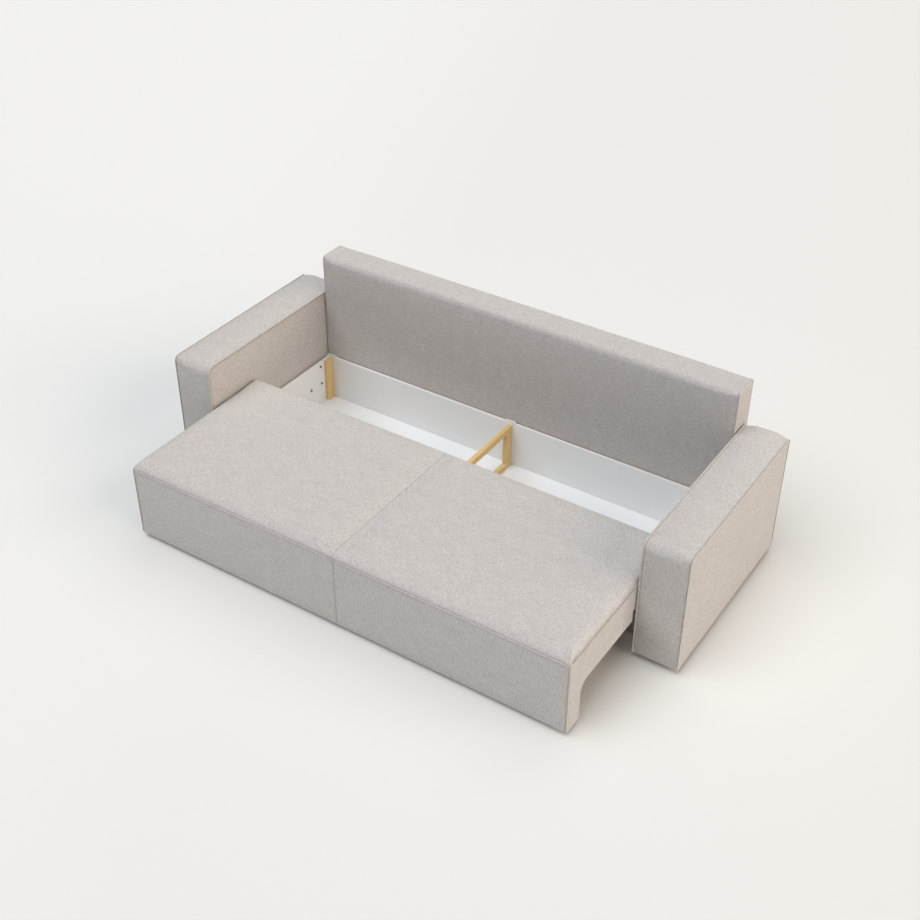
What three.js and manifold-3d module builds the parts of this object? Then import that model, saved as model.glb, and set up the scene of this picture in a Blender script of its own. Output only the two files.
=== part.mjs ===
// Sleeper sofa: a pull-out seat on casters, a storage box behind it and a backrest that folds
// forward over the box, between two arms. It is built pulled out, with the backrest upright.
// Millimetres, +X to the sitter's right hand as seen from the front, +Z up. Y is counted from
// the front plane of the arms towards the back, and the finished group is shifted along Y so
// that its origin lies on the floor under the middle of the pulled-out sofa.
import * as THREE from 'three';
import { mergeVertices } from 'three/addons/utils/BufferGeometryUtils.js';
import Module from 'manifold-3d';

const wasm = await Module();
wasm.setup();

// Overall sizes
const overallWidth = 2500;
const armWidth = 198;
const armDepth = 916;
const armTop = 584;
const armFloorGap = 26;
const seatTop = 387;
const seatDepth = 802;
const seatOverhang = 502;
const backThickness = 137;
const backOverhang = 39;

// Gaps: between touching pieces, beside and behind the seat, and round the folded backrest
const fitGap = 0.3;
const seatSideGap = 4;
const backSideGap = 4;
const closedGap = 4;
const foldedGap = 6;
const foldedLift = 7;
const cutOverrun = 5;

// Places that follow: the backrest stands over the arms' rear ends, the seat closes up to it, and
// it is as tall as the gap that it fills when it is folded
const innerHalf = overallWidth / 2 - armWidth;
const seatHalf = innerHalf - seatSideGap;
const backHalf = innerHalf - backSideGap;
const seatFront = -seatOverhang;
const seatRear = seatFront + seatDepth;
const backRear = armDepth + backOverhang;
const backFront = backRear - backThickness;
const seatTravel = backFront - closedGap - seatRear;
const foldedFace = seatTop - backThickness;
const boxTop = foldedFace - foldedLift;
const pivotSetback = 6.5;
const pivotY = backFront + pivotSetback;
const pivotZ = foldedFace + pivotSetback;
const backTop = pivotY + pivotZ - seatRear - foldedGap;

// Storage box
const skidHeight = 8;
const skidWidth = 60;
const skidInset = 90;
const laminate = 12;
const floorThickness = 8;
const apronThickness = 95;
const apronClearance = 8;
const slabBottom = 195;
const skirtFrontGap = 10;
const skirtBoard = 3.2;
const skirtClearance = 0.8;
const sideBoard = 18;
const cleatGap = 16;
const cleatDrop = 15;
const boxFront = seatFront + seatTravel + apronThickness + apronClearance;
const floorTop = skidHeight + fitGap + floorThickness;
const panelBottom = skidHeight + fitGap;
const skirtRear = -skirtFrontGap;
const sideOuter = seatHalf - skirtBoard - skirtClearance;

// Timber of the box: the rear corner posts and the frame in the middle
const barWidth = 22;
const postThickness = 20;
const postDepth = 45;
const barDrop = 8;
const postDrop = 3;
const topBarHeight = 32;
const bottomBarHeight = 24;
const barTop = boxTop - barDrop;

// Base behind the box, under the backrest
const shelfThickness = 18;
const rearPanelThickness = 16;
const restStripDepth = 30;
const restStripSetback = 52;
const backLift = 2.5;
const backBottom = boxTop + backLift;

// Hinges of the backrest
const hingeWidth = 54;
const hingePlate = 3;
const knuckleRadius = 5;
const pinRadius = 3;
const boreClearance = 0.35;
const knuckleLength = 23;
const knuckleGap = 0.5;
const webFront = 1;
const baseLeafLength = 41.5;
const movingLeafLength = 60;
const tabInset = 1;
const tabGap = 0.5;
const hingePocketGap = 1;
const pinSides = 16;

// Backrest frame and padding
const backRail = 40;
const backFrameFront = 32;
const backFrameDepth = 60;
const backFrameInset = 28;
const backEndRadius = 18;
const backCornerRadius = 24;
const backCrown = 3;
const hemRadius = 3;

// Seat
const glideHeight = 6;
const glideLength = 140;
const glideSetback = 14;
const glideOverlap = 4;
const railHeight = 25;
const railDepth = 25;
const rearRecess = 10;
const midRailWidth = 40;
const deckThickness = 12;
const frontPad = 15;
const frontBoard = 12;
const innerBoard = 15;
const apronFloorGap = 15;
const apronFillet = 45;
const weltDrop = 30;
const cushionCrown = 5;
const cushionCorner = 16;
const cushionEnd = 12;
const seamRadius = 4;
const seamDepth = 3;
const seatHalves = 2;
const padCrown = 2;
const glideTop = boxTop + fitGap + glideHeight;
const railBottom = glideTop + fitGap;
const deckBottom = railBottom + railHeight + fitGap;
const deckTop = deckBottom + deckThickness;
const cushionBottom = deckTop + fitGap;
const padBack = seatFront + frontPad;
const boardFront = padBack + fitGap;
const boardBack = boardFront + frontBoard;
const apronRear = seatFront + apronThickness;
const innerBoardFront = apronRear - innerBoard;
const weltZ = seatTop - weltDrop;

// Casters inside the front of the seat
const wheelRadius = 22;
const wheelWidth = 18;
const wheelChamfer = 2;
const axleRadius = 4;
const axleClearance = 0.4;
const cheekThickness = 2;
const cheekClearance = 1;
const cheekHalfDepth = 14;
const cheekBottom = 12;
const bracketTop = 58;
const bracketFlange = 10;
const casterRailHeight = 40;
const casterPlaceShares = [-0.86, -0.3, 0.3, 0.86];
const axleSides = 12;
const wheelSides = 24;

// Arms
const armFrontRadius = 50;
const armRearRadius = 20;
const armHem = 4;
const flangeWidth = 4;
const flangeSlope = 3;
const flangeDrop = 6;
const armEndDrop = 2;
const armPad = 24;
const armSidePad = 6;
const carcassBoard = 16;
const carcassFloor = 18;
const footRadius = 26;
const footChamfer = 3;
const footSetback = 90;
const footSides = 16;

// Steps of the rounded shapes
const cornerSteps = 4;
const edgeSteps = 6;
const endSteps = 3;

const fabric = new THREE.MeshStandardMaterial({ color: 0xb5aca2, roughness: 0.95, metalness: 0 });
const foam = new THREE.MeshStandardMaterial({ color: 0xb9b0a6, roughness: 0.95, metalness: 0 });
const white = new THREE.MeshStandardMaterial({ color: 0xe6e6e4, roughness: 0.4, metalness: 0 });
const pine = new THREE.MeshStandardMaterial({ color: 0xd9b676, roughness: 0.6, metalness: 0 });
const plywood = new THREE.MeshStandardMaterial({ color: 0xc9a877, roughness: 0.7, metalness: 0 });
const plastic = new THREE.MeshStandardMaterial({ color: 0x26272a, roughness: 0.5, metalness: 0 });
const steel = new THREE.MeshStandardMaterial({ color: 0xb9bcc0, roughness: 0.35, metalness: 1 });
const whiteSteel = new THREE.MeshStandardMaterial({ color: 0xe9e9e7, roughness: 0.4, metalness: 0.2 });

const sides = [['left', -1], ['right', 1]];

function addMesh(group, name, geometry, material) {
  const mesh = new THREE.Mesh(geometry, material);
  mesh.name = name;
  group.add(mesh);
  return mesh;
}

function addBoard(group, name, material, [x0, x1], [y0, y1], [z0, z1]) {
  const mesh = addMesh(group, name, new THREE.BoxGeometry(x1 - x0, y1 - y0, z1 - z0), material);
  mesh.position.set((x0 + x1) / 2, (y0 + y1) / 2, (z0 + z1) / 2);
}

function addPlaced(parent, x, y, z) {
  const group = new THREE.Group();
  group.position.set(x, y, z);
  parent.add(group);
  return group;
}

// A span of x on one side of the middle, from its inner to its outer edge
function span(side, inner, outer) {
  return side > 0 ? [inner, outer] : [-outer, -inner];
}

function solidOf(geometry) {
  const bare = geometry.clone();
  bare.deleteAttribute('normal');
  bare.deleteAttribute('uv');
  const merged = mergeVertices(bare);
  return new wasm.Manifold(new wasm.Mesh({
    numProp: 3,
    vertProperties: new Float32Array(merged.attributes.position.array),
    triVerts: new Uint32Array(merged.index.array),
  }));
}

function geometryOf(solid) {
  const { vertProperties, triVerts } = solid.getMesh();
  const geometry = new THREE.BufferGeometry();
  geometry.setAttribute('position', new THREE.BufferAttribute(new Float32Array(vertProperties), 3));
  geometry.setIndex(new THREE.BufferAttribute(new Uint32Array(triVerts), 1));
  geometry.computeVertexNormals();
  return geometry;
}

function boardSolid([x0, x1], [y0, y1], [z0, z1]) {
  const geometry = new THREE.BoxGeometry(x1 - x0, y1 - y0, z1 - z0);
  return solidOf(geometry.translate((x0 + x1) / 2, (y0 + y1) / 2, (z0 + z1) / 2));
}

function rodAlongX(radius, [x0, x1], sidesOfRod) {
  const geometry = new THREE.CylinderGeometry(radius, radius, x1 - x0, sidesOfRod);
  return geometry.rotateZ(Math.PI / 2).translate((x0 + x1) / 2, 0, 0);
}

// A board cut to an outline drawn in Y and Z, as thick as its span of x
function boardAlongX(outline, [x0, x1]) {
  const geometry = new THREE.ExtrudeGeometry(outline, {
    depth: x1 - x0, bevelEnabled: false, curveSegments: cornerSteps,
  });
  const turn = new THREE.Matrix4().makeBasis(
    new THREE.Vector3(0, 1, 0), new THREE.Vector3(0, 0, 1), new THREE.Vector3(1, 0, 0));
  return geometry.applyMatrix4(turn).translate(x0, 0, 0);
}

// Points of a padded outline in Y and Z, counter-clockwise from +X. The faces touch the given
// limits in their middles, and their ends are drawn in by the crown of that face.
function paddedOutline({ y, z, radii, crown }) {
  const y0 = y[0] + crown.front;
  const y1 = y[1] - crown.rear;
  const z0 = z[0];
  const z1 = z[1] - crown.top;
  const corners = [
    { y: y0, z: z0, r: radii.hem, sy: 1, sz: 1, from: Math.PI },
    { y: y1, z: z0, r: radii.hem, sy: -1, sz: 1, from: -Math.PI / 2 },
    { y: y1, z: z1, r: radii.rear, sy: -1, sz: -1, from: 0 },
    { y: y0, z: z1, r: radii.front, sy: 1, sz: -1, from: Math.PI / 2 },
  ];
  const bulges = [[0, 0], [crown.rear, 0], [0, crown.top], [-crown.front, 0]];
  const points = [];
  corners.forEach((corner, index) => {
    for (let step = 0; step <= cornerSteps; step += 1) {
      const angle = corner.from + (Math.PI / 2) * (step / cornerSteps);
      points.push([
        corner.y + corner.sy * corner.r + corner.r * Math.cos(angle),
        corner.z + corner.sz * corner.r + corner.r * Math.sin(angle),
      ]);
    }
    const start = points[points.length - 1];
    const next = corners[(index + 1) % corners.length];
    const end = [
      next.y + next.sy * next.r + next.r * Math.cos(next.from),
      next.z + next.sz * next.r + next.r * Math.sin(next.from),
    ];
    for (let step = 1; step < edgeSteps; step += 1) {
      const t = step / edgeSteps;
      const swell = 1 - (2 * t - 1) ** 2;
      points.push([
        start[0] + (end[0] - start[0]) * t + bulges[index][0] * swell,
        start[1] + (end[1] - start[1]) * t + bulges[index][1] * swell,
      ]);
    }
  });
  return points;
}

// A closed skin through outlines that stand at rising places along X
function loftAlongX(stations) {
  const count = stations[0].outline.length;
  const positions = stations.flatMap(({ x, outline }) => outline.flatMap(([y, z]) => [x, y, z]));
  const index = [];
  for (let row = 0; row + 1 < stations.length; row += 1) {
    for (let point = 0; point < count; point += 1) {
      const a = row * count + point;
      const b = row * count + (point + 1) % count;
      index.push(a, b, b + count, a, b + count, a + count);
    }
  }
  const last = (stations.length - 1) * count;
  const capOf = ({ outline }) => THREE.ShapeUtils.triangulateShape(
    outline.map(([y, z]) => new THREE.Vector2(y, z)), []);
  capOf(stations[0]).forEach(([a, b, c]) => index.push(a, c, b));
  capOf(stations[stations.length - 1]).forEach(([a, b, c]) => index.push(last + a, last + b, last + c));
  const geometry = new THREE.BufferGeometry();
  geometry.setAttribute('position', new THREE.Float32BufferAttribute(positions, 3));
  geometry.setIndex(index);
  geometry.computeVertexNormals();
  return geometry;
}

// Places along X of a padded body with rounded ends, each with how far its skin is drawn in
function roundedStations([x0, x1], startRadius, endRadius, middleSteps) {
  const stations = [];
  for (let step = 0; step < endSteps; step += 1) {
    const angle = (Math.PI / 2) * (1 - step / endSteps);
    stations.push({
      x: x0 + startRadius * (1 - Math.sin(angle)), inset: startRadius * (1 - Math.cos(angle)),
    });
  }
  for (let step = 0; step <= middleSteps; step += 1) {
    const share = step / middleSteps;
    stations.push({ x: x0 + startRadius + (x1 - endRadius - x0 - startRadius) * share, inset: 0 });
  }
  for (let step = 1; step <= endSteps; step += 1) {
    const angle = (Math.PI / 2) * (step / endSteps);
    stations.push({
      x: x1 - endRadius * (1 - Math.sin(angle)), inset: endRadius * (1 - Math.cos(angle)),
    });
  }
  return stations;
}

// How much of a crown is left at x, from all of it in the middle of a span to none at its ends
function crownShare(x, [x0, x1]) {
  const t = (2 * x - x0 - x1) / (x1 - x0);
  return Math.max(0, 1 - t ** 4);
}

function insetRadii(radii, inset) {
  const shrink = (radius) => Math.max(radius - inset, Math.min(radius, hemRadius));
  return { front: shrink(radii.front), rear: shrink(radii.rear), hem: radii.hem };
}

function paddedBody(spanX, spanY, spanZ, radii, crown, stations) {
  return loftAlongX(stations.map(({ x, inset }) => {
    const share = crownShare(x, spanX);
    const drawn = { front: crown.front * share, rear: crown.rear * share, top: crown.top * share };
    return {
      x,
      outline: paddedOutline({
        y: [spanY[0] + crown.front * (1 - share) + inset, spanY[1] - crown.rear * (1 - share) - inset],
        z: [spanZ[0], spanZ[1] - crown.top * (1 - share) - inset],
        radii: insetRadii(radii, inset),
        crown: drawn,
      }),
    };
  }));
}

// Storage box between the arms, open at the top
function addBox(base) {
  const sideInner = sideOuter - laminate;
  const panelFront = backFront - laminate;
  const cavityFront = boxFront + laminate + fitGap;
  const cavityRear = panelFront - fitGap;
  addBoard(base, 'box_floor', white, [-sideInner + fitGap, sideInner - fitGap],
    [cavityFront, cavityRear], [panelBottom, floorTop]);
  addBoard(base, 'box_back_panel', white, [-innerHalf + fitGap, innerHalf - fitGap],
    [panelFront, backFront], [panelBottom, boxTop]);
  addBoard(base, 'box_front_panel', fabric, [-sideInner + fitGap, sideInner - fitGap],
    [boxFront, boxFront + laminate], [panelBottom, barTop]);
  sides.forEach(([name, side]) => {
    addBoard(base, `box_side_${name}`, white, span(side, sideInner, sideOuter),
      [boxFront, cavityRear], [panelBottom, boxTop]);
    addBoard(base, `arm_cleat_${name}`, plywood, span(side, sideOuter + fitGap, innerHalf - fitGap),
      [skirtRear + seatTravel + cleatGap, cavityRear], [armFloorGap, boxTop - cleatDrop]);
    addBoard(base, `rear_post_${name}`, pine,
      span(side, sideInner - fitGap - postThickness, sideInner - fitGap),
      [cavityRear - postDepth, cavityRear], [floorTop + fitGap, boxTop - postDrop]);
    addBoard(base, `skid_${name}`, plastic,
      span(side, sideInner - skidInset - skidWidth, sideInner - skidInset),
      [cavityFront, cavityRear], [0, skidHeight]);
  });
  addCentreFrame(base, cavityFront, cavityRear);
}

// Timber frame in the middle of the box, which carries the middle rail of the seat
function addCentreFrame(base, cavityFront, cavityRear) {
  const spanX = [-barWidth / 2, barWidth / 2];
  const bottomTop = floorTop + fitGap + bottomBarHeight;
  const topBottom = barTop - topBarHeight;
  addBoard(base, 'centre_bottom_bar', pine, spanX,
    [cavityFront, cavityRear], [floorTop + fitGap, bottomTop]);
  addBoard(base, 'centre_post', pine, spanX,
    [cavityRear - postDepth, cavityRear], [bottomTop + fitGap, topBottom - fitGap]);
  addBoard(base, 'centre_top_bar', pine, spanX, [cavityFront, cavityRear], [topBottom, barTop]);
}

// Shelf and rear panel that close the base under the backrest
function addRearBase(base) {
  const spanX = [-innerHalf + fitGap, innerHalf - fitGap];
  addBoard(base, 'backrest_shelf', plywood, spanX,
    [backFront + fitGap, armDepth - fitGap], [boxTop - shelfThickness, boxTop]);
  addBoard(base, 'rear_panel', fabric, spanX, [armDepth - rearPanelThickness, armDepth - fitGap],
    [armFloorGap, boxTop - shelfThickness - fitGap]);
  const stripFront = backFront + restStripSetback;
  addBoard(base, 'backrest_rest_strip', plastic, [-backHalf, backHalf],
    [stripFront, stripFront + restStripDepth], [boxTop + fitGap, backBottom - fitGap]);
}

function hingePlaces() {
  const outer = backHalf - hingeWidth / 2;
  return [['left', -outer], ['centre', 0], ['right', outer]];
}

// Heights of a hinge's leaves above its pin, which are below zero
const baseLeafBottom = boxTop + fitGap - pivotZ;
const baseLeafTop = baseLeafBottom + hingePlate;
const movingLeafBottom = baseLeafTop + fitGap;
const movingLeafTop = movingLeafBottom + hingePlate;

// Fixed leaf, whose white front edge lies on the rim of the box, and the pin that it holds
function addHingeBase(base, name, x) {
  const half = hingeWidth / 2;
  const middle = [-knuckleLength / 2, knuckleLength / 2];
  const tabFront = backFront - laminate + tabInset - pivotY;
  const bore = solidOf(rodAlongX(pinRadius + boreClearance, [-half, half], pinSides));
  const leaf = boardSolid([-half, half], [tabFront, baseLeafLength], [baseLeafBottom, baseLeafTop])
    .add(boardSolid([-half, half], [tabFront, -pivotSetback - tabGap],
      [baseLeafBottom, foldedFace - fitGap - pivotZ]))
    .add(boardSolid(middle, [-knuckleRadius, knuckleRadius], [baseLeafBottom, 0]))
    .add(solidOf(rodAlongX(knuckleRadius, middle, pinSides)))
    .subtract(bore);
  const place = addPlaced(base, x, pivotY, pivotZ);
  addMesh(place, `hinge_base_${name}`, geometryOf(leaf), whiteSteel);
  addMesh(place, `hinge_pin_${name}`, rodAlongX(pinRadius, [-half, half], pinSides), steel);
}

// Moving leaf under the backrest, with a knuckle on each side of the fixed one
function addHingeLeaf(backrest, name, x) {
  const half = hingeWidth / 2;
  const notch = knuckleLength / 2 + knuckleGap;
  const bore = solidOf(rodAlongX(pinRadius + boreClearance, [-half, half], pinSides));
  let leaf = boardSolid([-half, half], [-webFront, movingLeafLength],
    [movingLeafBottom, movingLeafTop]);
  leaf = leaf.add(boardSolid([-half, half], [-webFront, knuckleRadius], [movingLeafBottom, 0]));
  leaf = leaf.add(solidOf(rodAlongX(knuckleRadius, [-half, half], pinSides)));
  leaf = leaf.subtract(boardSolid([-notch, notch], [-knuckleRadius - cutOverrun,
    knuckleRadius + knuckleGap], [movingLeafBottom - cutOverrun, knuckleRadius + cutOverrun]));
  const place = addPlaced(backrest, x, pivotY, pivotZ);
  addMesh(place, `hinge_leaf_${name}`, geometryOf(leaf.subtract(bore)), steel);
}

// Rails and stiles inside the backrest, as spans of x, y and z
function backFrame() {
  const depth = [backFront + backFrameFront, backFront + backFrameFront + backFrameDepth];
  const half = backHalf - backFrameInset;
  const bottom = pivotZ + movingLeafTop + fitGap;
  const top = backTop - backFrameInset;
  const stile = [bottom + backRail + fitGap, top - backRail - fitGap];
  return {
    bottom_rail: [[-half, half], depth, [bottom, bottom + backRail]],
    top_rail: [[-half, half], depth, [top - backRail, top]],
    stile_left: [[-half, -half + backRail], depth, stile],
    stile_right: [[half - backRail, half], depth, stile],
  };
}

function grown(spans, amount) {
  return spans.map(([low, high]) => [low - amount, high + amount]);
}

// Foam and cover of the backrest, with room for its frame and for the hinges
function backPad() {
  const spanX = [-backHalf, backHalf];
  const radii = { front: backCornerRadius, rear: backCornerRadius, hem: hemRadius };
  const crown = { front: backCrown, rear: backCrown, top: backCrown };
  const stations = roundedStations(spanX, backEndRadius, backEndRadius, edgeSteps);
  const body = paddedBody(spanX, [backFront, backRear], [backBottom, backTop], radii, crown, stations);
  let pad = solidOf(body);
  Object.values(backFrame()).forEach((spans) => {
    pad = pad.subtract(boardSolid(...grown(spans, fitGap)));
  });
  const railSpans = backFrame().bottom_rail;
  pad = pad.subtract(boardSolid(...grown([railSpans[0], railSpans[1]], fitGap),
    [backBottom - cutOverrun, railSpans[2][0]]));
  hingePlaces().forEach(([, x]) => {
    const pocketX = [x - hingeWidth / 2 - hingePocketGap, x + hingeWidth / 2 + hingePocketGap];
    pad = pad.subtract(boardSolid(pocketX,
      [backFront - cutOverrun, pivotY + movingLeafLength + hingePocketGap],
      [backBottom - cutOverrun, railSpans[2][0]]));
    pad = pad.subtract(boardSolid(pocketX,
      [pivotY - knuckleRadius - fitGap, pivotY + knuckleRadius + hingePocketGap],
      [backBottom, pivotZ + knuckleRadius + hingePocketGap]));
  });
  return pad;
}

function addBackrest(backrest) {
  addMesh(backrest, 'backrest_pad', geometryOf(backPad()), fabric);
  Object.entries(backFrame()).forEach(([name, spans]) => {
    addBoard(backrest, `backrest_${name}`, pine, ...spans);
  });
  hingePlaces().forEach(([name, x]) => addHingeLeaf(backrest, name, x));
}

// One half of the seat's padding: crowned, rounded at its outer end and drawn in at the seam
function addCushion(seat, name, side) {
  const spanX = span(side, fitGap / 2, seatHalf);
  const radii = { front: cushionCorner, rear: cushionCorner, hem: hemRadius };
  const crown = { front: padCrown, rear: padCrown, top: cushionCrown };
  const stations = side > 0
    ? roundedStations(spanX, seamRadius, cushionEnd, edgeSteps)
    : roundedStations(spanX, cushionEnd, seamRadius, edgeSteps);
  const body = paddedBody(spanX, [seatFront, seatRear], [cushionBottom, seatTop + cushionCrown],
    radii, crown, stations);
  const frontRoom = boardSolid([-seatHalf - cutOverrun, seatHalf + cutOverrun],
    [seatFront - cutOverrun, padBack + fitGap], [cushionBottom - cutOverrun, weltZ + fitGap]);
  addMesh(seat, `seat_cushion_${name}`, geometryOf(solidOf(body).subtract(frontRoom)), foam);
}

// Padding of the seat's front, with the seam that parts its halves
function addFrontPad(seat) {
  const spanX = [-seatHalf, seatHalf];
  const radii = { front: hemRadius, rear: hemRadius, hem: hemRadius };
  const crown = { front: padCrown, rear: 0, top: 0 };
  const ends = roundedStations(spanX, seamRadius, seamRadius, seatHalves);
  const stations = ends.flatMap((station) => (Math.abs(station.x) > seamRadius ? [station] : [
    { x: station.x - seamRadius, inset: 0 },
    { x: station.x, inset: seamDepth },
    { x: station.x + seamRadius, inset: 0 },
  ]));
  const body = loftAlongX(stations.map(({ x, inset }) => ({
    x,
    outline: paddedOutline({ y: [seatFront + inset, padBack], z: [apronFloorGap, weltZ], radii, crown }),
  })));
  addMesh(seat, 'seat_front_pad', body, fabric);
}

// L-shaped side of the seat: a board above the box and in the front, and a thin skirt that hangs
// beside the box
function addSeatSide(seat, name, side) {
  const front = boardBack + fitGap;
  const rear = seatRear - rearRecess;
  const board = new THREE.Shape();
  board.moveTo(front, apronFloorGap);
  board.lineTo(apronRear, apronFloorGap);
  board.lineTo(apronRear, railBottom);
  board.lineTo(rear, railBottom);
  board.lineTo(rear, deckTop);
  board.lineTo(front, deckTop);
  board.closePath();
  const skirt = new THREE.Shape();
  skirt.moveTo(front, apronFloorGap);
  skirt.lineTo(apronRear, apronFloorGap);
  skirt.lineTo(apronRear, slabBottom - apronFillet);
  skirt.absarc(apronRear + apronFillet, slabBottom - apronFillet, apronFillet,
    Math.PI, Math.PI / 2, true);
  skirt.lineTo(skirtRear, slabBottom);
  skirt.lineTo(skirtRear, deckTop);
  skirt.lineTo(front, deckTop);
  skirt.closePath();
  const solid = solidOf(boardAlongX(board, span(side, seatHalf - sideBoard, seatHalf)))
    .add(solidOf(boardAlongX(skirt, span(side, seatHalf - skirtBoard, seatHalf))));
  addMesh(seat, `seat_side_${name}`, geometryOf(solid), fabric);
}

// Boards and rails that carry the padding and slide over the box
function addSeatFrame(seat) {
  const innerSpan = [-seatHalf + sideBoard + fitGap, seatHalf - sideBoard - fitGap];
  const railTop = deckBottom - fitGap;
  const rearRail = [seatRear - rearRecess - railDepth, seatRear - rearRecess];
  addBoard(seat, 'seat_front_board', plywood, [-seatHalf, seatHalf],
    [boardFront, boardBack], [apronFloorGap, deckTop]);
  addBoard(seat, 'seat_inner_board', plywood, innerSpan,
    [innerBoardFront, apronRear], [apronFloorGap, railTop]);
  addBoard(seat, 'seat_deck', plywood, innerSpan,
    [boardBack + fitGap, rearRail[1]], [deckBottom, deckTop]);
  addBoard(seat, 'seat_rear_rail', pine, innerSpan, rearRail, [railBottom, railTop]);
  addBoard(seat, 'seat_mid_rail', pine, [-midRailWidth / 2, midRailWidth / 2],
    [apronRear + fitGap, rearRail[0] - fitGap], [barTop + fitGap, railTop]);
  addBoard(seat, 'seat_caster_rail', pine, innerSpan,
    [boardBack + fitGap, innerBoardFront - fitGap], [bracketTop + fitGap, bracketTop + casterRailHeight]);
  sides.forEach(([name, side]) => {
    const glideRear = seatRear - glideSetback;
    addBoard(seat, `seat_glide_${name}`, plastic,
      span(side, sideOuter - laminate - glideOverlap, seatHalf),
      [glideRear - glideLength, glideRear], [boxTop + fitGap, glideTop]);
  });
}

// Fixed fork of a caster with its riveted axle, round the middle of the wheel
function casterFork() {
  const inner = wheelWidth / 2 + cheekClearance;
  const outer = inner + cheekThickness;
  const plateTop = bracketTop - wheelRadius;
  const plateBottom = plateTop - cheekThickness;
  const depth = [-cheekHalfDepth, cheekHalfDepth];
  let fork = boardSolid([-outer - bracketFlange, outer + bracketFlange], depth,
    [plateBottom, plateTop]);
  sides.forEach(([, side]) => {
    fork = fork.add(boardSolid(span(side, inner, outer), depth, [cheekBottom - wheelRadius, plateTop]));
  });
  return fork.add(solidOf(rodAlongX(axleRadius, [-outer, outer], axleSides)));
}

function wheelGeometry() {
  const half = wheelWidth / 2;
  const bore = axleRadius + axleClearance;
  const profile = [
    [bore, -half], [wheelRadius - wheelChamfer, -half], [wheelRadius, wheelChamfer - half],
    [wheelRadius, half - wheelChamfer], [wheelRadius - wheelChamfer, half], [bore, half],
    [bore, -half],
  ].map(([radius, along]) => new THREE.Vector2(radius, along));
  return new THREE.LatheGeometry(profile, wheelSides).rotateZ(-Math.PI / 2);
}

function addCasters(seat) {
  const y = (boardBack + innerBoardFront) / 2;
  casterPlaceShares.forEach((share, index) => {
    const place = addPlaced(seat, share * seatHalf, y, wheelRadius);
    addMesh(place, `caster_fork_${index + 1}`, geometryOf(casterFork()), steel);
    addMesh(place, `caster_wheel_${index + 1}`, wheelGeometry(), plastic);
  });
}

function addSeat(seat) {
  sides.forEach(([name, side]) => {
    addCushion(seat, name, side);
    addSeatSide(seat, name, side);
  });
  addFrontPad(seat);
  addSeatFrame(seat);
  addCasters(seat);
}

// Places across an arm, from its inner to its outer face: a sewn flange stands on each edge,
// and the band between them is crowned
function armStations([x0, x1]) {
  const first = [
    { x: x0, inset: armEndDrop },
    { x: x0 + flangeWidth / 2, inset: 0 },
    { x: x0 + flangeWidth, inset: 0 },
    { x: x0 + flangeWidth + flangeSlope, inset: flangeDrop },
  ];
  const band = x1 - x0 - 2 * (flangeWidth + flangeSlope);
  const middle = [];
  for (let step = 1; step < edgeSteps; step += 1) {
    const t = (2 * step) / edgeSteps - 1;
    middle.push({
      x: x0 + flangeWidth + flangeSlope + (band * step) / edgeSteps, inset: flangeDrop * t ** 2,
    });
  }
  const last = first.map(({ x, inset }) => ({ x: x0 + x1 - x, inset })).reverse();
  return [...first, ...middle, ...last];
}

function armCover(spanX) {
  const flat = { front: 0, rear: 0, top: 0 };
  return loftAlongX(armStations(spanX).map(({ x, inset }) => ({
    x,
    outline: paddedOutline({
      y: [inset, armDepth - inset],
      z: [armFloorGap, armTop - inset],
      radii: { front: armFrontRadius - inset, rear: armRearRadius - inset, hem: armHem },
      crown: flat,
    }),
  })));
}

// Footing on a flat ring, with its lower edge chamfered
function footGeometry() {
  const top = armFloorGap - fitGap;
  const profile = [
    [0, 0], [footRadius - footChamfer, 0], [footRadius, footChamfer], [footRadius, top], [0, top],
  ].map(([radius, height]) => new THREE.Vector2(radius, height));
  return new THREE.LatheGeometry(profile, footSides).rotateX(Math.PI / 2);
}

function addArm(base, name, side) {
  const spanX = span(side, innerHalf, overallWidth / 2);
  const core = [
    [spanX[0] + armSidePad, spanX[1] - armSidePad],
    [armPad, armDepth - armPad],
    [armFloorGap, armTop - armPad],
  ];
  const room = boardSolid(grown([core[0]], fitGap)[0], grown([core[1]], fitGap)[0],
    [armFloorGap - cutOverrun, core[2][1] + fitGap]);
  addMesh(base, `arm_cover_${name}`, geometryOf(solidOf(armCover(spanX)).subtract(room)), fabric);
  const hollow = boardSolid(...grown([core[0], core[1]], -carcassBoard),
    [core[2][0] + carcassFloor, core[2][1] + cutOverrun]);
  addMesh(base, `arm_carcass_${name}`, geometryOf(boardSolid(...core).subtract(hollow)), plywood);
  [['front', footSetback], ['rear', armDepth - footSetback]].forEach(([end, y]) => {
    const place = addPlaced(base, (spanX[0] + spanX[1]) / 2, y, 0);
    addMesh(place, `arm_foot_${name}_${end}`, footGeometry(), plastic);
  });
}

function buildSofa() {
  const sofa = addPlaced(new THREE.Group(), 0, -(seatFront + backRear) / 2, 0);
  const base = addPlaced(sofa, 0, 0, 0);
  const seat = addPlaced(sofa, 0, 0, 0);
  const backrest = addPlaced(sofa, 0, 0, 0);
  addBox(base);
  addRearBase(base);
  hingePlaces().forEach(([name, x]) => addHingeBase(base, name, x));
  sides.forEach(([name, side]) => addArm(base, name, side));
  addSeat(seat);
  addBackrest(backrest);
  return sofa;
}

const whole = new THREE.Group();
whole.add(buildSofa());
export default whole;
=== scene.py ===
"""Dresses the frame of a sleeper sofa: covers, boards, timber, hinges, casters and stitching.

Everything is in metres, in the frame of the packed model: +X to the right as seen from the
front, +Y to the back, +Z up, with the origin on the floor under the middle of the sofa.
"""
import math

import bmesh
import bpy
import numpy as np
from mathutils import Matrix, Vector


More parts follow.
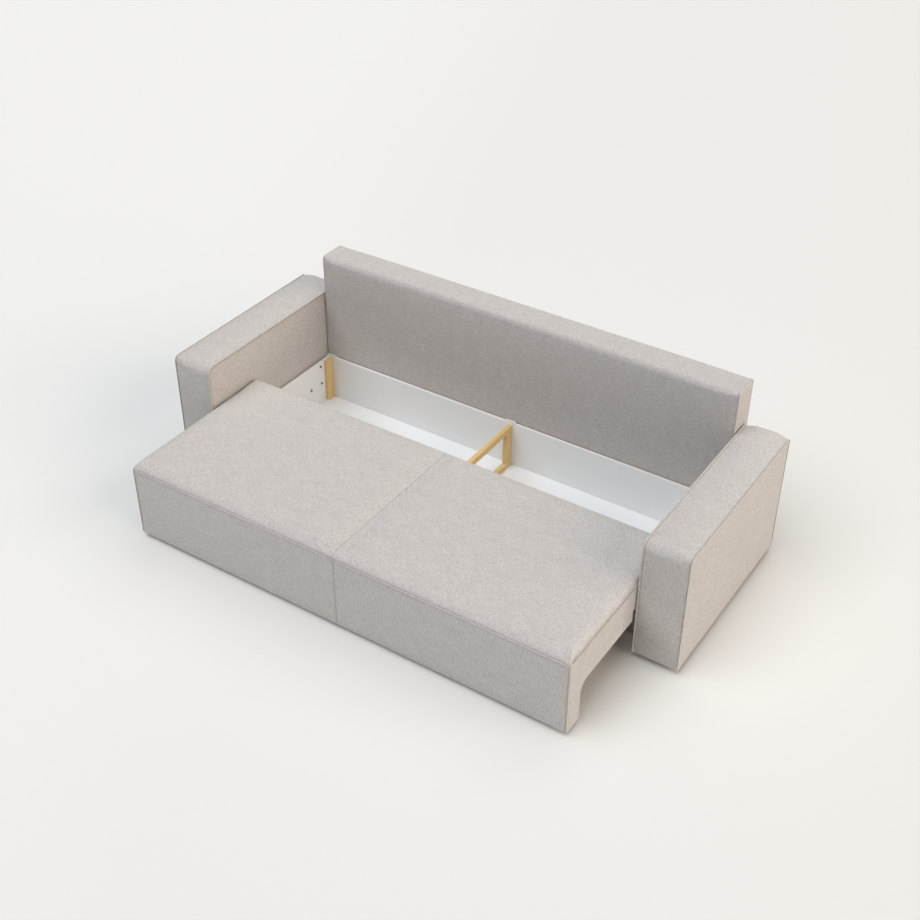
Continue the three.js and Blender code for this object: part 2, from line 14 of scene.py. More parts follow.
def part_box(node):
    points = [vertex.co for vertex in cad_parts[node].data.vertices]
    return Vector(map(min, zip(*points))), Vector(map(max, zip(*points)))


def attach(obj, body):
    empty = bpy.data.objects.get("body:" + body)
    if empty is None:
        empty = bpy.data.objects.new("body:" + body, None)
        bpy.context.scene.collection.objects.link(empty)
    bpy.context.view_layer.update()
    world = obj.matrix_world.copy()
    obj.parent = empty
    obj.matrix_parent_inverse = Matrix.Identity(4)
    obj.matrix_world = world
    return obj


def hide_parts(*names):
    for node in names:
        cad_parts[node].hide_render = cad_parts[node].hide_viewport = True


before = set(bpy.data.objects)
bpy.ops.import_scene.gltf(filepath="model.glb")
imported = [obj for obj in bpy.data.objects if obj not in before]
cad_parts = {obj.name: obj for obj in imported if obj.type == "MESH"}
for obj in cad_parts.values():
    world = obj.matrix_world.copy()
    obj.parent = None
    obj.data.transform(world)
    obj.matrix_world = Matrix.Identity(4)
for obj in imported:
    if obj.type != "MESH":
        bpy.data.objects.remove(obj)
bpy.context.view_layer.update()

bl_info = {
    "name": "Sleeper sofa with a pull-out seat",
    "version": (1, 0, 0),
    "blender": (4, 5, 0),
    "location": "View3D > Sidebar > Sofa",
    "description": "Builds the sofa's covers, boards, timber, hardware and stitching on its frame",
    "category": "Object",
}

MM = 0.001
JOIN = 1e-6
WEAVE = "weave"
LEFT, RIGHT = -1, 1
SIDES = (("left", LEFT), ("right", RIGHT))
WHEELS = (1, 2, 3, 4)


def span_of(node):
    """Lowest and highest corner of a frame node, as arrays."""
    low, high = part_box(node)
    return np.array(low), np.array(high)


# Settings

def color_setting(name, description, default):
    return bpy.props.FloatVectorProperty(
        name=name, description=description, subtype="COLOR", size=3, min=0, max=1, default=default)


def length_setting(name, description, default):
    return bpy.props.FloatProperty(
        name=name, description=description, unit="LENGTH", subtype="DISTANCE", min=0, default=default)


def factor_setting(name, description, default, high=10):
    return bpy.props.FloatProperty(name=name, description=description, min=0, max=high, default=default)


class StageSettings(bpy.types.PropertyGroup):
    """Floor, light and camera"""
    floor_color: color_setting("Floor", "Colour of the floor", (0.855, 0.86, 0.85))
    # Painted light on the floor: darker in the middle as painted shade, warmer on the right as painted
    # window light
    painted_shade_floor: color_setting(
        "Floor in the middle", "Colour of the floor under the sofa", (0.82, 0.82, 0.795))
    painted_window_floor: color_setting(
        "Floor on the right", "Colour of the floor where the window lights it", (0.835, 0.82, 0.78))
    bounce: factor_setting("Bounce", "Share of its light that the floor throws back at the sofa", 0.9, 1)
    left_color: color_setting("Left sky", "Colour of the room's light from the left", (0.88, 0.97, 1.0))
    right_color: color_setting("Right sky", "Colour of the room's light from the right", (1.0, 0.92, 0.84))
    sky_strength: factor_setting("Sky strength", "Strength of the light from all round", 0.08)
    front_lamp_color: color_setting(
        "Front lamp", "Colour of the soft light above the front", (0.93, 0.955, 1.0))
    front_lamp_strength: factor_setting(
        "Front lamp strength", "Strength of the light above the front", 2.02)
    rear_lamp_color: color_setting(
        "Rear lamp", "Colour of the soft light above the back", (0.99, 1.0, 0.98))
    rear_lamp_strength: factor_setting("Rear lamp strength", "Strength of the light above the back", 0.74)
    window_color: color_setting("Window", "Colour of the soft light from the right", (1.0, 0.875, 0.76))
    window_strength: factor_setting("Window strength", "Strength of the light from the right", 1.98)
    light_spread: bpy.props.FloatProperty(
        name="Light spread", description="Apparent size of the soft lights", subtype="ANGLE",
        min=0, max=math.pi, default=math.radians(55))
    shadow_lift: factor_setting("Shadow lift", "How far the floor's shadows are lightened", 0.04, 1)
    lens: bpy.props.FloatProperty(
        name="Lens", description="Focal length of the camera", unit="CAMERA", min=10, default=53.36)
    camera_roll: bpy.props.FloatProperty(
        name="Roll", description="Turn of the camera about its axis", subtype="ANGLE",
        default=math.radians(0.314))


class ClothSettings(bpy.types.PropertyGroup):
    """Woven cover and its padding"""
    light_yarn: color_setting("Light yarn", "Colour of the lighter yarn", (0.757, 0.727, 0.70))
    dark_yarn: color_setting("Dark yarn", "Colour of the darker yarn", (0.40, 0.375, 0.355))
    thread: length_setting("Thread", "Distance between two threads of the weave", 1.5 * MM)
    mesh_step: length_setting("Mesh step", "Distance between mesh points on a padded piece", 16 * MM)
    pressure: factor_setting("Pressure", "Pressure of the foam under the covers", 4)
    swell_cap: length_setting("Swell", "Furthest that the foam pushes a cover out", 5 * MM)


class SeamSettings(bpy.types.PropertyGroup):
    """Welt, corner piping and stitches"""
    welt_radius: length_setting("Welt radius", "Radius of the welt along the seat's front", 2.5 * MM)
    piping_radius: length_setting("Piping radius", "Radius of the ridges at the seat's corners", 2.0 * MM)
    stitch_pitch: length_setting("Stitch pitch", "Distance from one stitch to the next", 7 * MM)
    stitch_length: length_setting("Stitch length", "Visible length of a stitch", 4.6 * MM)
    stitch_radius: length_setting("Stitch radius", "Radius of the sewing thread", 0.55 * MM)
    seam_radius: length_setting("Seam radius", "Radius of the thread that lies in a seam", 0.9 * MM)
    # The same dark thread is also laid in the seams as painted shade
    thread_color: color_setting("Sewing thread", "Colour of the sewing thread", (0.27, 0.225, 0.185))


class BoardSettings(bpy.types.PropertyGroup):
    """Boards and timber of the box and frames"""
    laminate_color: color_setting("Laminate", "Colour of the white boards", (0.97, 0.955, 0.935))
    edge_color: color_setting("Edge band", "Colour of the boards' edge bands", (0.99, 0.99, 0.985))
    pine_light: color_setting("Early wood", "Colour of pine between its rings", (0.83, 0.62, 0.31))
    pine_dark: color_setting("Late wood", "Colour of the rings of pine", (0.66, 0.42, 0.16))
    plywood_light: color_setting("Light plywood", "Colour between the plywood's figure", (0.62, 0.45, 0.27))
    plywood_dark: color_setting("Dark plywood", "Colour of the plywood's figure", (0.43, 0.28, 0.14))
    board_round: length_setting("Board rounding", "Rounding of a board's edges", 0.9 * MM)
    timber_round: length_setting("Timber rounding", "Rounding of a timber's edges", 1.8 * MM)


class HardwareSettings(bpy.types.PropertyGroup):
    """Hinges, bolts, casters and feet"""
    steel_color: color_setting("Steel", "Colour of zinc-plated steel", (0.56, 0.57, 0.59))
    paint_color: color_setting("Painted steel", "Colour of the white hinges", (0.85, 0.85, 0.84))
    plastic_color: color_setting("Plastic", "Colour of feet, skids and glides", (0.028, 0.028, 0.031))
    tyre_color: color_setting("Tyre", "Colour of the casters' tyres", (0.10, 0.10, 0.105))
    bolt_color: color_setting("Bolts", "Colour of the bolts' heads in the box", (0.20, 0.20, 0.20))
    bolt_radius: length_setting("Bolt radius", "Radius of the bolts' heads in the box", 6.8 * MM)
    metal_round: length_setting("Metal rounding", "Rounding of pressed edges", 0.35 * MM)


# Nodes

class Value:
    """What a node gives, with arithmetic on numbers that adds Math nodes."""

    def __init__(self, nodes, socket):
        self.nodes, self.socket = nodes, socket

    def math(self, operation, *others):
        inputs = dict(enumerate((self, *others)))
        return self.nodes.node("ShaderNodeMath", {"operation": operation}, inputs)["Value"]

    def __add__(self, other):
        return self.math("ADD", other)

    def __sub__(self, other):
        return self.math("SUBTRACT", other)

    def __rsub__(self, other):
        return (self * -1) + other

    def __mul__(self, other):
        return self.math("MULTIPLY", other)

    __radd__ = __add__
    __rmul__ = __mul__

    def __pow__(self, other):
        return self.math("POWER", other)

    def sine(self):
        return self.math("SINE")

    def absolute(self):
        return self.math("ABSOLUTE")

    def ramp(self, low, high, start=0.0, end=1.0):
        return self.nodes.node("ShaderNodeMapRange", {"clamp": True}, {
            "Value": self, "From Min": low, "From Max": high, "To Min": start, "To Max": end})["Result"]


class Made:
    """A node whose outputs are read by name."""

    def __init__(self, nodes, node):
        self.nodes, self.node = nodes, node

    def __getitem__(self, name):
        found = next(s for s in self.node.outputs if s.name == name and s.enabled)
        return Value(self.nodes, found)


class Nodes:
    """A tree of nodes, to which one method adds."""

    def __init__(self, tree):
        self.tree = tree

    def node(self, kind, settings=None, inputs=None):
        """Adds a node: its settings come first, then the values or links of its sockets."""
        node = self.tree.nodes.new(kind)
        for key, value in (settings or {}).items():
            setattr(node, key, value)
        for key, value in (inputs or {}).items():
            socket = node.inputs[key] if isinstance(key, int) else next(
                s for s in node.inputs if s.name == key and s.enabled)
            if isinstance(value, Value):
                self.tree.links.new(value.socket, socket)
            else:
                socket.default_value = value
        return Made(self, node)

    def vector(self, x, y, z=0.0):
        return self.node("ShaderNodeCombineXYZ", None, {"X": x, "Y": y, "Z": z})["Vector"]


class Shader(Nodes):
    """The nodes of one material or world."""

    def __init__(self, owner):
        owner.use_nodes = True
        super().__init__(owner.node_tree)
        self.tree.nodes.clear()

    def place(self):
        return self.node("ShaderNodeTexCoord")["Object"]

    def weave(self):
        return self.node("ShaderNodeUVMap", {"uv_map": WEAVE})["UV"]

    def axes(self, vector):
        parts = self.node("ShaderNodeSeparateXYZ", None, {"Vector": vector})
        return parts["X"], parts["Y"], parts["Z"]

    def scaled(self, vector, scale):
        return self.node("ShaderNodeMapping", {"vector_type": "POINT"}, {
            "Vector": vector, "Scale": scale})["Vector"]

    def noise(self, vector, scale=1.0, detail=2.0, roughness=0.5):
        return self.node("ShaderNodeTexNoise", None, {
            "Vector": vector, "Scale": scale, "Detail": detail, "Roughness": roughness})["Fac"]

    def mix(self, factor, first, second):
        return self.node("ShaderNodeMix", {"data_type": "RGBA"}, {
            "Factor": factor, "A": first, "B": second})["Result"]

    def bump(self, height, distance, strength=1.0):
        return self.node("ShaderNodeBump", None, {
            "Height": height, "Distance": distance, "Strength": strength})["Normal"]

    def principled(self, **inputs):
        """A Principled shader; a socket's name is written with low lines for its spaces."""
        names = {key.replace("_", " "): value for key, value in inputs.items()}
        return self.node("ShaderNodeBsdfPrincipled", None, names)["BSDF"]

    def blend(self, factor, first, second):
        """A mix of two shaders."""
        return self.node("ShaderNodeMixShader", None, {0: factor, 1: first, 2: second})["Shader"]

    def surface(self, **inputs):
        """Ends a material in one shader with the given sockets."""
        self.output(self.principled(**inputs))

    def output(self, shader, kind="ShaderNodeOutputMaterial"):
        self.node(kind, None, {"Surface": shader})

    def seen_ray(self):
        """One for rays that show a background: straight from the camera, mirrored or through glass."""
        path = self.node("ShaderNodeLightPath")
        seen = path["Is Camera Ray"].math("MAXIMUM", path["Is Glossy Ray"])
        return seen.math("MAXIMUM", path["Is Transmission Ray"])


ACROSS_YARN, ALONG_YARN = 520, 46
RING_WIDTH, PLY_THICKNESS = 4.6 * MM, 3.0 * MM
PINE_HEART = (0.031, -0.047)


def opaque(color):
    return (*color, 1.0)


def material(name, paint, *arguments):
    """A material by that name, painted once."""
    found = bpy.data.materials.get(name)
    if found is None:
        found = bpy.data.materials.new(name)
        paint(Shader(found), *arguments)
    return found


def paint_cloth(s, settings):
    """Plain weave of a light and a dark yarn: single threads near by, a fine melange further off.

    The third coordinate of a noise only keeps its pattern apart from the others.
    """
    u, v, _ = s.axes(s.weave())
    turn = math.pi / settings.thread
    over = (u * turn).sine() * (v * turn).sine()
    warp = s.noise(s.vector(u * ACROSS_YARN, v * ALONG_YARN), detail=3.0, roughness=0.62)
    weft = s.noise(s.vector(u * ALONG_YARN, v * ACROSS_YARN, 7.0), detail=3.0, roughness=0.62)
    crossing = over.ramp(-0.35, 0.35)
    yarn = warp * crossing + weft * (1 - crossing)
    fleck = s.noise(s.vector(u, v, 3.0), scale=150, detail=4.0, roughness=0.85)
    knot = s.noise(s.vector(u, v, 11.0), scale=260, detail=1.0)
    cloud = s.noise(s.vector(u, v, 5.0), scale=16, detail=4.0, roughness=0.6)
    slub = s.noise(s.vector(u * 200, v * 44, 9.0), detail=2.0)
    shade = yarn.ramp(0.3, 0.7) * 0.24 + fleck.ramp(0.38, 0.62) * 0.40 + slub.ramp(0.34, 0.66) * 0.26
    shade = shade + cloud.ramp(0.3, 0.7) * 0.12 + knot.ramp(0.62, 0.7) * 0.26
    color = s.mix(shade, opaque(settings.dark_yarn), opaque(settings.light_yarn))
    height = over.absolute() ** 0.6 * 0.55 + yarn * 0.45 + fleck * 0.35
    s.surface(Base_Color=color, Roughness=shade.ramp(0.2, 0.8, 0.98, 0.86),
              Normal=s.bump(height, 0.55 * MM, 0.75), Sheen_Weight=0.12, Sheen_Roughness=0.5,
              Specular_IOR_Level=0.2)


def paint_thread(s, settings):
    """Twisted sewing thread."""
    fibre = s.noise(s.place(), scale=2600, detail=1.0)
    color = s.mix(fibre, opaque([c * 0.75 for c in settings.thread_color]),
                  opaque([c * 1.25 for c in settings.thread_color]))
    s.surface(Base_Color=color, Roughness=0.8, Normal=s.bump(fibre, 0.1 * MM))


def paint_laminate(s, color, roughness):
    """White melamine face: a little orange peel and light handling marks."""
    place = s.place()
    peel = s.noise(place, scale=420, detail=2.0)
    marks = s.noise(place, scale=9, detail=4.0, roughness=0.65)
    tint = s.mix(marks.ramp(0.35, 0.75), opaque(color), opaque([c * 0.965 for c in color]))
    s.surface(Base_Color=tint, Roughness=marks.ramp(0.3, 0.8, roughness, roughness + 0.14),
              Normal=s.bump(peel, 0.05 * MM, 0.5), Specular_IOR_Level=0.45)


def paint_pine(s, settings, along, heart):
    """Pine cut from a log whose heart line runs beside the piece: rings, fibres and a faint blush."""
    parts = list(s.axes(s.place()))
    length = parts.pop(along)
    across, deep = parts
    wander = s.noise(s.vector(across * 6, deep * 6, length * 1.3), detail=2.0)
    side = across - heart[0] + wander * 0.012
    rise = deep - heart[1] + wander * 0.009
    radius = (side * side + rise * rise) ** 0.5
    ring = (radius * (2 * math.pi / RING_WIDTH) + wander * 5).sine()
    late = ring.ramp(-0.2, 0.95) ** 2.2
    fibre = s.noise(s.vector(across * 1500, deep * 1500, length * 26), detail=3.0, roughness=0.7)
    blush = s.noise(s.vector(across * 20, deep * 20, length * 4), detail=2.0)
    amount = late * 0.62 + fibre.ramp(0.35, 0.75) * 0.26 + blush.ramp(0.4, 0.7) * 0.14
    color = s.mix(amount, opaque(settings.pine_light), opaque(settings.pine_dark))
    s.surface(Base_Color=color, Roughness=amount.ramp(0, 1, 0.52, 0.68),
              Normal=s.bump(fibre * 0.6 + late * 0.4, 0.16 * MM, 0.6), Specular_IOR_Level=0.35)


def paint_plywood(s, settings):
    """Raw plywood: broad birch figure on the faces and thin plies on the edges."""
    x, y, z = s.axes(s.place())
    figure = s.noise(s.vector(x * 2.2, y * 16, z * 16), detail=4.0, roughness=0.6)
    fibre = s.noise(s.vector(x * 30, y * 900, z * 900), detail=2.0)
    plies = ((x + y + z) * (2 * math.pi / PLY_THICKNESS)).sine()
    amount = figure.ramp(0.35, 0.65) * 0.55 + fibre * 0.3 + plies.ramp(-1, 1) * 0.12
    color = s.mix(amount, opaque(settings.plywood_light), opaque(settings.plywood_dark))
    s.surface(Base_Color=color, Roughness=amount.ramp(0, 1, 0.62, 0.8),
              Normal=s.bump(fibre, 0.2 * MM, 0.6), Specular_IOR_Level=0.3)


def paint_plastic(s, color, roughness):
    """Moulded plastic with a fine spark-eroded grain."""
    place = s.place()
    grain = s.noise(place, scale=1900, detail=2.0)
    scuff = s.noise(place, scale=70, detail=3.0, roughness=0.6)
    tint = s.mix(scuff.ramp(0.45, 0.8), opaque(color), opaque([c * 1.5 + 0.01 for c in color]))
    s.surface(Base_Color=tint, Roughness=scuff.ramp(0.3, 0.8, roughness, roughness + 0.15),
              Normal=s.bump(grain, 0.06 * MM, 0.7), Specular_IOR_Level=0.45)


def paint_metal(s, color, roughness, metallic):
    """Pressed steel, bare zinc or under paint, with rolling marks and a cloudy finish."""
    place = s.place()
    rolled = s.noise(s.scaled(place, (30, 900, 900)), detail=2.0)
    cloud = s.noise(place, scale=60, detail=3.0)
    tint = s.mix(cloud.ramp(0.35, 0.7), opaque(color), opaque([c * 0.86 for c in color]))
    s.surface(Base_Color=tint, Metallic=metallic,
              Roughness=(rolled * 0.5 + cloud * 0.5).ramp(0.3, 0.7, roughness, roughness + 0.16),
              Normal=s.bump(rolled, 0.04 * MM, 0.5))


def cloth_material():
    return material("woven_cover", paint_cloth, bpy.context.scene.sofa_cloth)


def plywood_material():
    return material("raw_plywood", paint_plywood, bpy.context.scene.sofa_boards)


def plastic_material():
    return material("moulded_plastic", paint_plastic, bpy.context.scene.sofa_hardware.plastic_color, 0.48)


def steel_material():
    return material("zinc_steel", paint_metal, bpy.context.scene.sofa_hardware.steel_color, 0.3, 1.0)


def painted_material():
    return material("painted_steel", paint_metal, bpy.context.scene.sofa_hardware.paint_color, 0.36, 0.0)


# Meshes

class Skin:
    """Gathers grids of points as quads, and joins the points that coincide."""

    def __init__(self):
        self.points, self.pins, self.quads, self.count = [], [], [], 0

    def grid(self, points, pin=0.0):
        rows, columns = points.shape[:2]
        index = self.count + np.arange(rows * columns).reshape(rows, columns)
        self.quads.append(np.stack(
            (index[:-1, :-1], index[:-1, 1:], index[1:, 1:], index[1:, :-1]), -1).reshape(-1, 4))
        self.points.append(points.reshape(-1, 3))
        self.pins.append(np.broadcast_to(pin, (rows, columns)).reshape(-1))
        self.count += rows * columns

    def joined(self):
        """Points, quads and how firmly each point is pinned."""
        points, quads = np.concatenate(self.points), np.concatenate(self.quads)
        keys = np.round(points / JOIN).astype(np.int64)
        _, first, where = np.unique(keys, axis=0, return_index=True, return_inverse=True)
        where = where.reshape(-1)
        pins = np.zeros(len(first))
        np.maximum.at(pins, where, np.concatenate(self.pins))
        return points[first], where[quads], pins


def lay_weave(mesh, turned=False):
    """Lays the cloth's threads square to the axes on each face, in metres, or turned by a quarter."""
    layer = mesh.uv_layers.get(WEAVE) or mesh.uv_layers.new(name=WEAVE)
    corners = len(mesh.loops)
    vertex = np.empty(corners, np.int32)
    mesh.loops.foreach_get("vertex_index", vertex)
    points = np.empty(len(mesh.vertices) * 3)
    mesh.vertices.foreach_get("co", points)
    points = points.reshape(-1, 3)[vertex]
    normals = np.empty(len(mesh.polygons) * 3)
    mesh.polygons.foreach_get("normal", normals)
    totals = np.empty(len(mesh.polygons), np.int32)
    mesh.polygons.foreach_get("loop_total", totals)
    facing = np.repeat(np.abs(normals.reshape(-1, 3)).argmax(1), totals)
    across = np.array((1, 0, 0))[facing]
    up = np.array((2, 2, 1))[facing]
    if turned:
        across, up = up, across
    rows = np.arange(corners)
    layer.data.foreach_set("uv", np.stack((points[rows, across], points[rows, up]), -1).ravel())


def new_object(name, mesh, materials=()):
    for one in materials:
        mesh.materials.append(one)
    made = bpy.data.objects.new(name, mesh)
    bpy.context.scene.collection.objects.link(made)
    return made


def mesh_object(name, points, faces, materials, smooth=True):
    """An object from points and faces, with its faces turned outwards."""
    mesh = bpy.data.meshes.new(name)
    mesh.from_pydata(np.asarray(points).tolist(), [], [list(face) for face in faces])
    form = bmesh.new()
    form.from_mesh(mesh)
    bmesh.ops.recalc_face_normals(form, faces=form.faces)
    form.to_mesh(mesh)
    form.free()
    if smooth:
        mesh.shade_smooth()
    return new_object(name, mesh, materials)


def add_modifier(made, kind, **settings):
    modifier = made.modifiers.new(kind.title(), kind)
    for key, value in settings.items():
        setattr(modifier, key, value)
    return modifier


def bake_modifiers(made):
    """Turns an object and its modifiers into a plain mesh."""
    depsgraph = bpy.context.evaluated_depsgraph_get()
    mesh = bpy.data.meshes.new_from_object(made.evaluated_get(depsgraph), depsgraph=depsgraph)
    made.modifiers.clear()
    old = made.data
    made.data = mesh
    bpy.data.meshes.remove(old)
    mesh.name = made.name


def finish_piece(made, body, replaces=(), weave=False, turned=False):
    """Lays the weave, ties a finished piece to its body, and hides the frame nodes that it replaces."""
    if weave:
        lay_weave(made.data, turned)
    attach(made, body)
    if replaces:
        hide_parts(*replaces)
    return made


def ticks(low, high, low_radius, high_radius, step, extra=()):
    """Places along one edge of a padded box, closer together in its rounded ends."""
    rounding = np.tan(np.linspace(0, math.pi / 4, 4))
    start = low + low_radius * (1 - rounding[::-1])
    end = high - high_radius * (1 - rounding)
    count = max(2, int(round((end[0] - start[-1]) / step)) + 1)
    inner = np.linspace(start[-1], end[0], count)
    extra = [place for place in extra if start[-1] < place < end[0]]
    inner = np.array([place for place in inner
                      if not extra or min(abs(place - other) for other in extra) > step * 0.3
                      or place in (start[-1], end[0])])
    return np.unique(np.round(np.concatenate((start[:-1], inner, extra, end[1:])), 7))


def padded_box(low, high, low_radii, high_radii, step, extra=((), (), ()), corner=None):
    """A box with rounded edges, as points and quads, with how each point faces.

    A corner says how the radii along X and Y narrow near a height: a factor for each height.
    """
    low, high = np.array(low), np.array(high)
    low_radii, high_radii = np.array(low_radii), np.array(high_radii)
    places = [ticks(low[a], high[a], low_radii[a], high_radii[a], step, extra[a]) for a in range(3)]
    skin = Skin()
    for axis in range(3):
        u, v = (axis + 1) % 3, (axis + 2) % 3
        grid_u, grid_v = np.meshgrid(places[u], places[v], indexing="ij")
        for value in (low[axis], high[axis]):
            points = np.empty((*grid_u.shape, 3))
            points[..., axis], points[..., u], points[..., v] = value, grid_u, grid_v
            skin.grid(points)
    points, quads, _ = skin.joined()
    narrowing = np.ones(points.shape)
    if corner:
        narrowing[:, :2] = corner(points[:, 2])[:, None]
    full = np.clip(points, low + low_radii, high - high_radii)
    radii = np.where(points < full, low_radii, high_radii)
    share = np.clip(np.abs(points - full) / radii, 0, 1)
    points = np.where(share > 0, full + np.sign(points - full) * radii * (
        1 - narrowing * (1 - share)), points)
    inner = np.clip(points, low + low_radii * narrowing, high - high_radii * narrowing)
    radii = radii * narrowing
    offset = (points - inner) / radii
    facing = offset / np.linalg.norm(offset, axis=1)[:, None]
    return inner + facing * radii, quads, facing


def smooth_step(value, low, high):
    share = np.clip((value - low) / (high - low), 0, 1)
    return share * share * (3 - 2 * share)


def swell(place, low, high, power=4):
    """How much of a crown is left at a place, from all in the middle to none at the ends."""
    return np.clip(1 - np.abs((2 * place - low - high) / (high - low)) ** power, 0, 1)


def ripple(place, seed):
    """Uneven gathers along a seam, between -1 and 1."""
    waves = ((0.031, 0.5), (0.047, 0.3), (0.083, 0.2))
    return sum(share * np.sin(2 * math.pi * place / length + seed * (3.1 + 1.7 * row))
               for row, (length, share) in enumerate(waves))


def near(distance, reach):
    """One at a seam, fading to nothing over its reach."""
    return np.exp(-(distance / reach) ** 2)


def gathers(height, place, seed, distance, reach):
    """Small folds along a seam, highest at no distance from their line and gone beyond their reach."""
    return height * ripple(place, seed) * near(distance, reach)


def pad_object(name, form, swell_share=1.0):
    """A padded piece before its foam swells; pinned points stay on their seams."""
    points, quads, pins = form
    made = mesh_object(name, points, quads, (cloth_material(),))
    made["swell_share"] = swell_share
    pins = np.round(pins, 2)
    group = made.vertex_groups.new(name="seams")
    for level in np.unique(pins[pins > 0]):
        group.add(np.nonzero(pins == level)[0].tolist(), float(level), "REPLACE")
    return made


SETTLE_FRAMES = 20
COVER_CLOTH = {
    "quality": 4, "mass": 0.3, "tension_stiffness": 14, "compression_stiffness": 14,
    "shear_stiffness": 6, "bending_stiffness": 0.6, "shrink_min": -0.008, "use_pressure": True,
    "vertex_group_mass": "seams"}


def settle(pads, free=1.0):
    """Lets the foam press the covers out between their seams, for all the pads together.

    Free says how much of its way a cover may go: one share, or for a single pad one at each point.
    """
    scene = bpy.context.scene
    settings = scene.sofa_cloth
    before = {}
    for pad in pads:
        before[pad.name] = points_of(pad.data)
        cloth = add_modifier(pad, "CLOTH")
        cloth.point_cache.frame_end = SETTLE_FRAMES
        for key, value in COVER_CLOTH.items():
            setattr(cloth.settings, key, value)
        cloth.settings.uniform_pressure_force = settings.pressure
        cloth.settings.effector_weights.gravity = 0
    for number in range(1, SETTLE_FRAMES + 1):
        scene.frame_set(number)
    depsgraph = bpy.context.evaluated_depsgraph_get()
    for pad in pads:
        moved = points_of(pad.evaluated_get(depsgraph).data) - before[pad.name]
        length = np.linalg.norm(moved, axis=1)[:, None]
        cap = settings.swell_cap * pad["swell_share"]
        kept = free * cap * np.tanh(length / cap) / np.maximum(length, JOIN)
        before[pad.name] = before[pad.name] + moved * kept
    for pad in pads:
        pad.modifiers.clear()
        pad.data.vertices.foreach_set("co", before[pad.name].ravel())
        pad.data.update()
    scene.frame_set(1)


def points_of(mesh):
    points = np.empty(len(mesh.vertices) * 3)
    mesh.vertices.foreach_get("co", points)
    return points.reshape(-1, 3)


def thread_material():
    return material("sewing_thread", paint_thread, bpy.context.scene.sofa_seams)


def lay_thread_and_shade(name, path, body, share=1.0):
    """The dark thread along the bottom of a seam: partly sewing thread, partly painted shade that darkens
    the seam's line.
    """
    radius = bpy.context.scene.sofa_seams.seam_radius * share
    made = tube(name, path, radius, (thread_material(),), sides=6)
    return finish_piece(made, body)


def finish_pad(pad, body, replaces, turned=False):
    """Smooths a settled pad and ties it to its body."""
    pad.vertex_groups.clear()
    add_modifier(pad, "SUBSURF", levels=1, render_levels=1)
    bake_modifiers(pad)
    finish_piece(pad, body, replaces, weave=True, turned=turned)


def ring_faces(rows, columns, closed=False):
    """Quads between rings of points that follow each other, and back to the first ring if closed."""
    faces = []
    for row in range(rows if closed else rows - 1):
        start, after = row * columns, (row + 1) % rows * columns
        faces += [(start + i, start + (i + 1) % columns, after + (i + 1) % columns, after + i)
                  for i in range(columns)]
    return faces


def tube(name, path, radius, materials, sides=10):
    """A round cord along a path, closed at its ends."""
    path = np.array(path, float)
    forward = np.gradient(path, axis=0)
    forward /= np.linalg.norm(forward, axis=1)[:, None]
    guide = np.array((0.31, 0.52, 0.79))
    first = np.cross(forward, guide)
    first /= np.linalg.norm(first, axis=1)[:, None]
    second = np.cross(forward, first)
    angles = np.linspace(0, 2 * math.pi, sides, endpoint=False)[None, :, None]
    rings = path[:, None] + radius * (np.cos(angles) * first[:, None] + np.sin(angles) * second[:, None])
    count = len(path)
    faces = ring_faces(count, sides)
    faces.append(tuple(range(sides)))
    faces.append(tuple(range((count - 1) * sides, count * sides)))
    return mesh_object(name, rings.reshape(-1, 3), faces, materials)


def lathe(rings, steps=48):
    """A form turned about Z from (radius, height) pairs that start and end on the axis."""
    angles = np.linspace(0, 2 * math.pi, steps, endpoint=False)
    points = [(0, 0, rings[0][1])]
    for radius, height in rings[1:-1]:
        points.extend((radius * math.cos(a), radius * math.sin(a), height) for a in angles)
    points.append((0, 0, rings[-1][1]))
    last = len(points) - 1
    faces = [tuple(1 + i for i in face) for face in ring_faces(len(rings) - 2, steps)]
    for i in range(steps):
        after = (i + 1) % steps
        faces += [(0, 1 + i, 1 + after), (last - steps + i, last, last - steps + after)]
    return np.array(points), faces


def softened(node, name, width, materials, segments=2, edge_slot=False):
    """A copy of a frame node's form with rounded edges. Edge bands lie on a board's narrow faces."""
    form = bmesh.new()
    form.from_mesh(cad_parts[node].data)
    bmesh.ops.remove_doubles(form, verts=form.verts, dist=1e-5)
    bmesh.ops.dissolve_limit(form, angle_limit=math.radians(2), verts=form.verts, edges=form.edges)
    bmesh.ops.recalc_face_normals(form, faces=form.faces)
    low, high = span_of(node)
    thin = int((high - low).argmin())
    for face in form.faces:
        face.smooth = True
        face.material_index = int(edge_slot and abs(face.normal[thin]) < 0.5)
    mesh = bpy.data.meshes.new(name)
    form.to_mesh(mesh)
    form.free()
    mesh.materials.clear()
    made = new_object(name, mesh, materials)
    add_modifier(made, "BEVEL", width=width, segments=segments, limit_method="ANGLE",
                 angle_limit=math.radians(28), harden_normals=True)
    bake_modifiers(made)
    return made


def soft_piece(node, name, width, materials, body, slot, **form):
    """A frame node's form with rounded edges, on its body; its slot is not used."""
    return finish_piece(softened(node, name, width, materials, **form), body, (node,))


def dress(node, finish):
    """Gives its material to a frame node that keeps its form."""
    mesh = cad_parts[node].data
    mesh.materials.clear()
    mesh.materials.append(finish)


# Repeats by geometry nodes

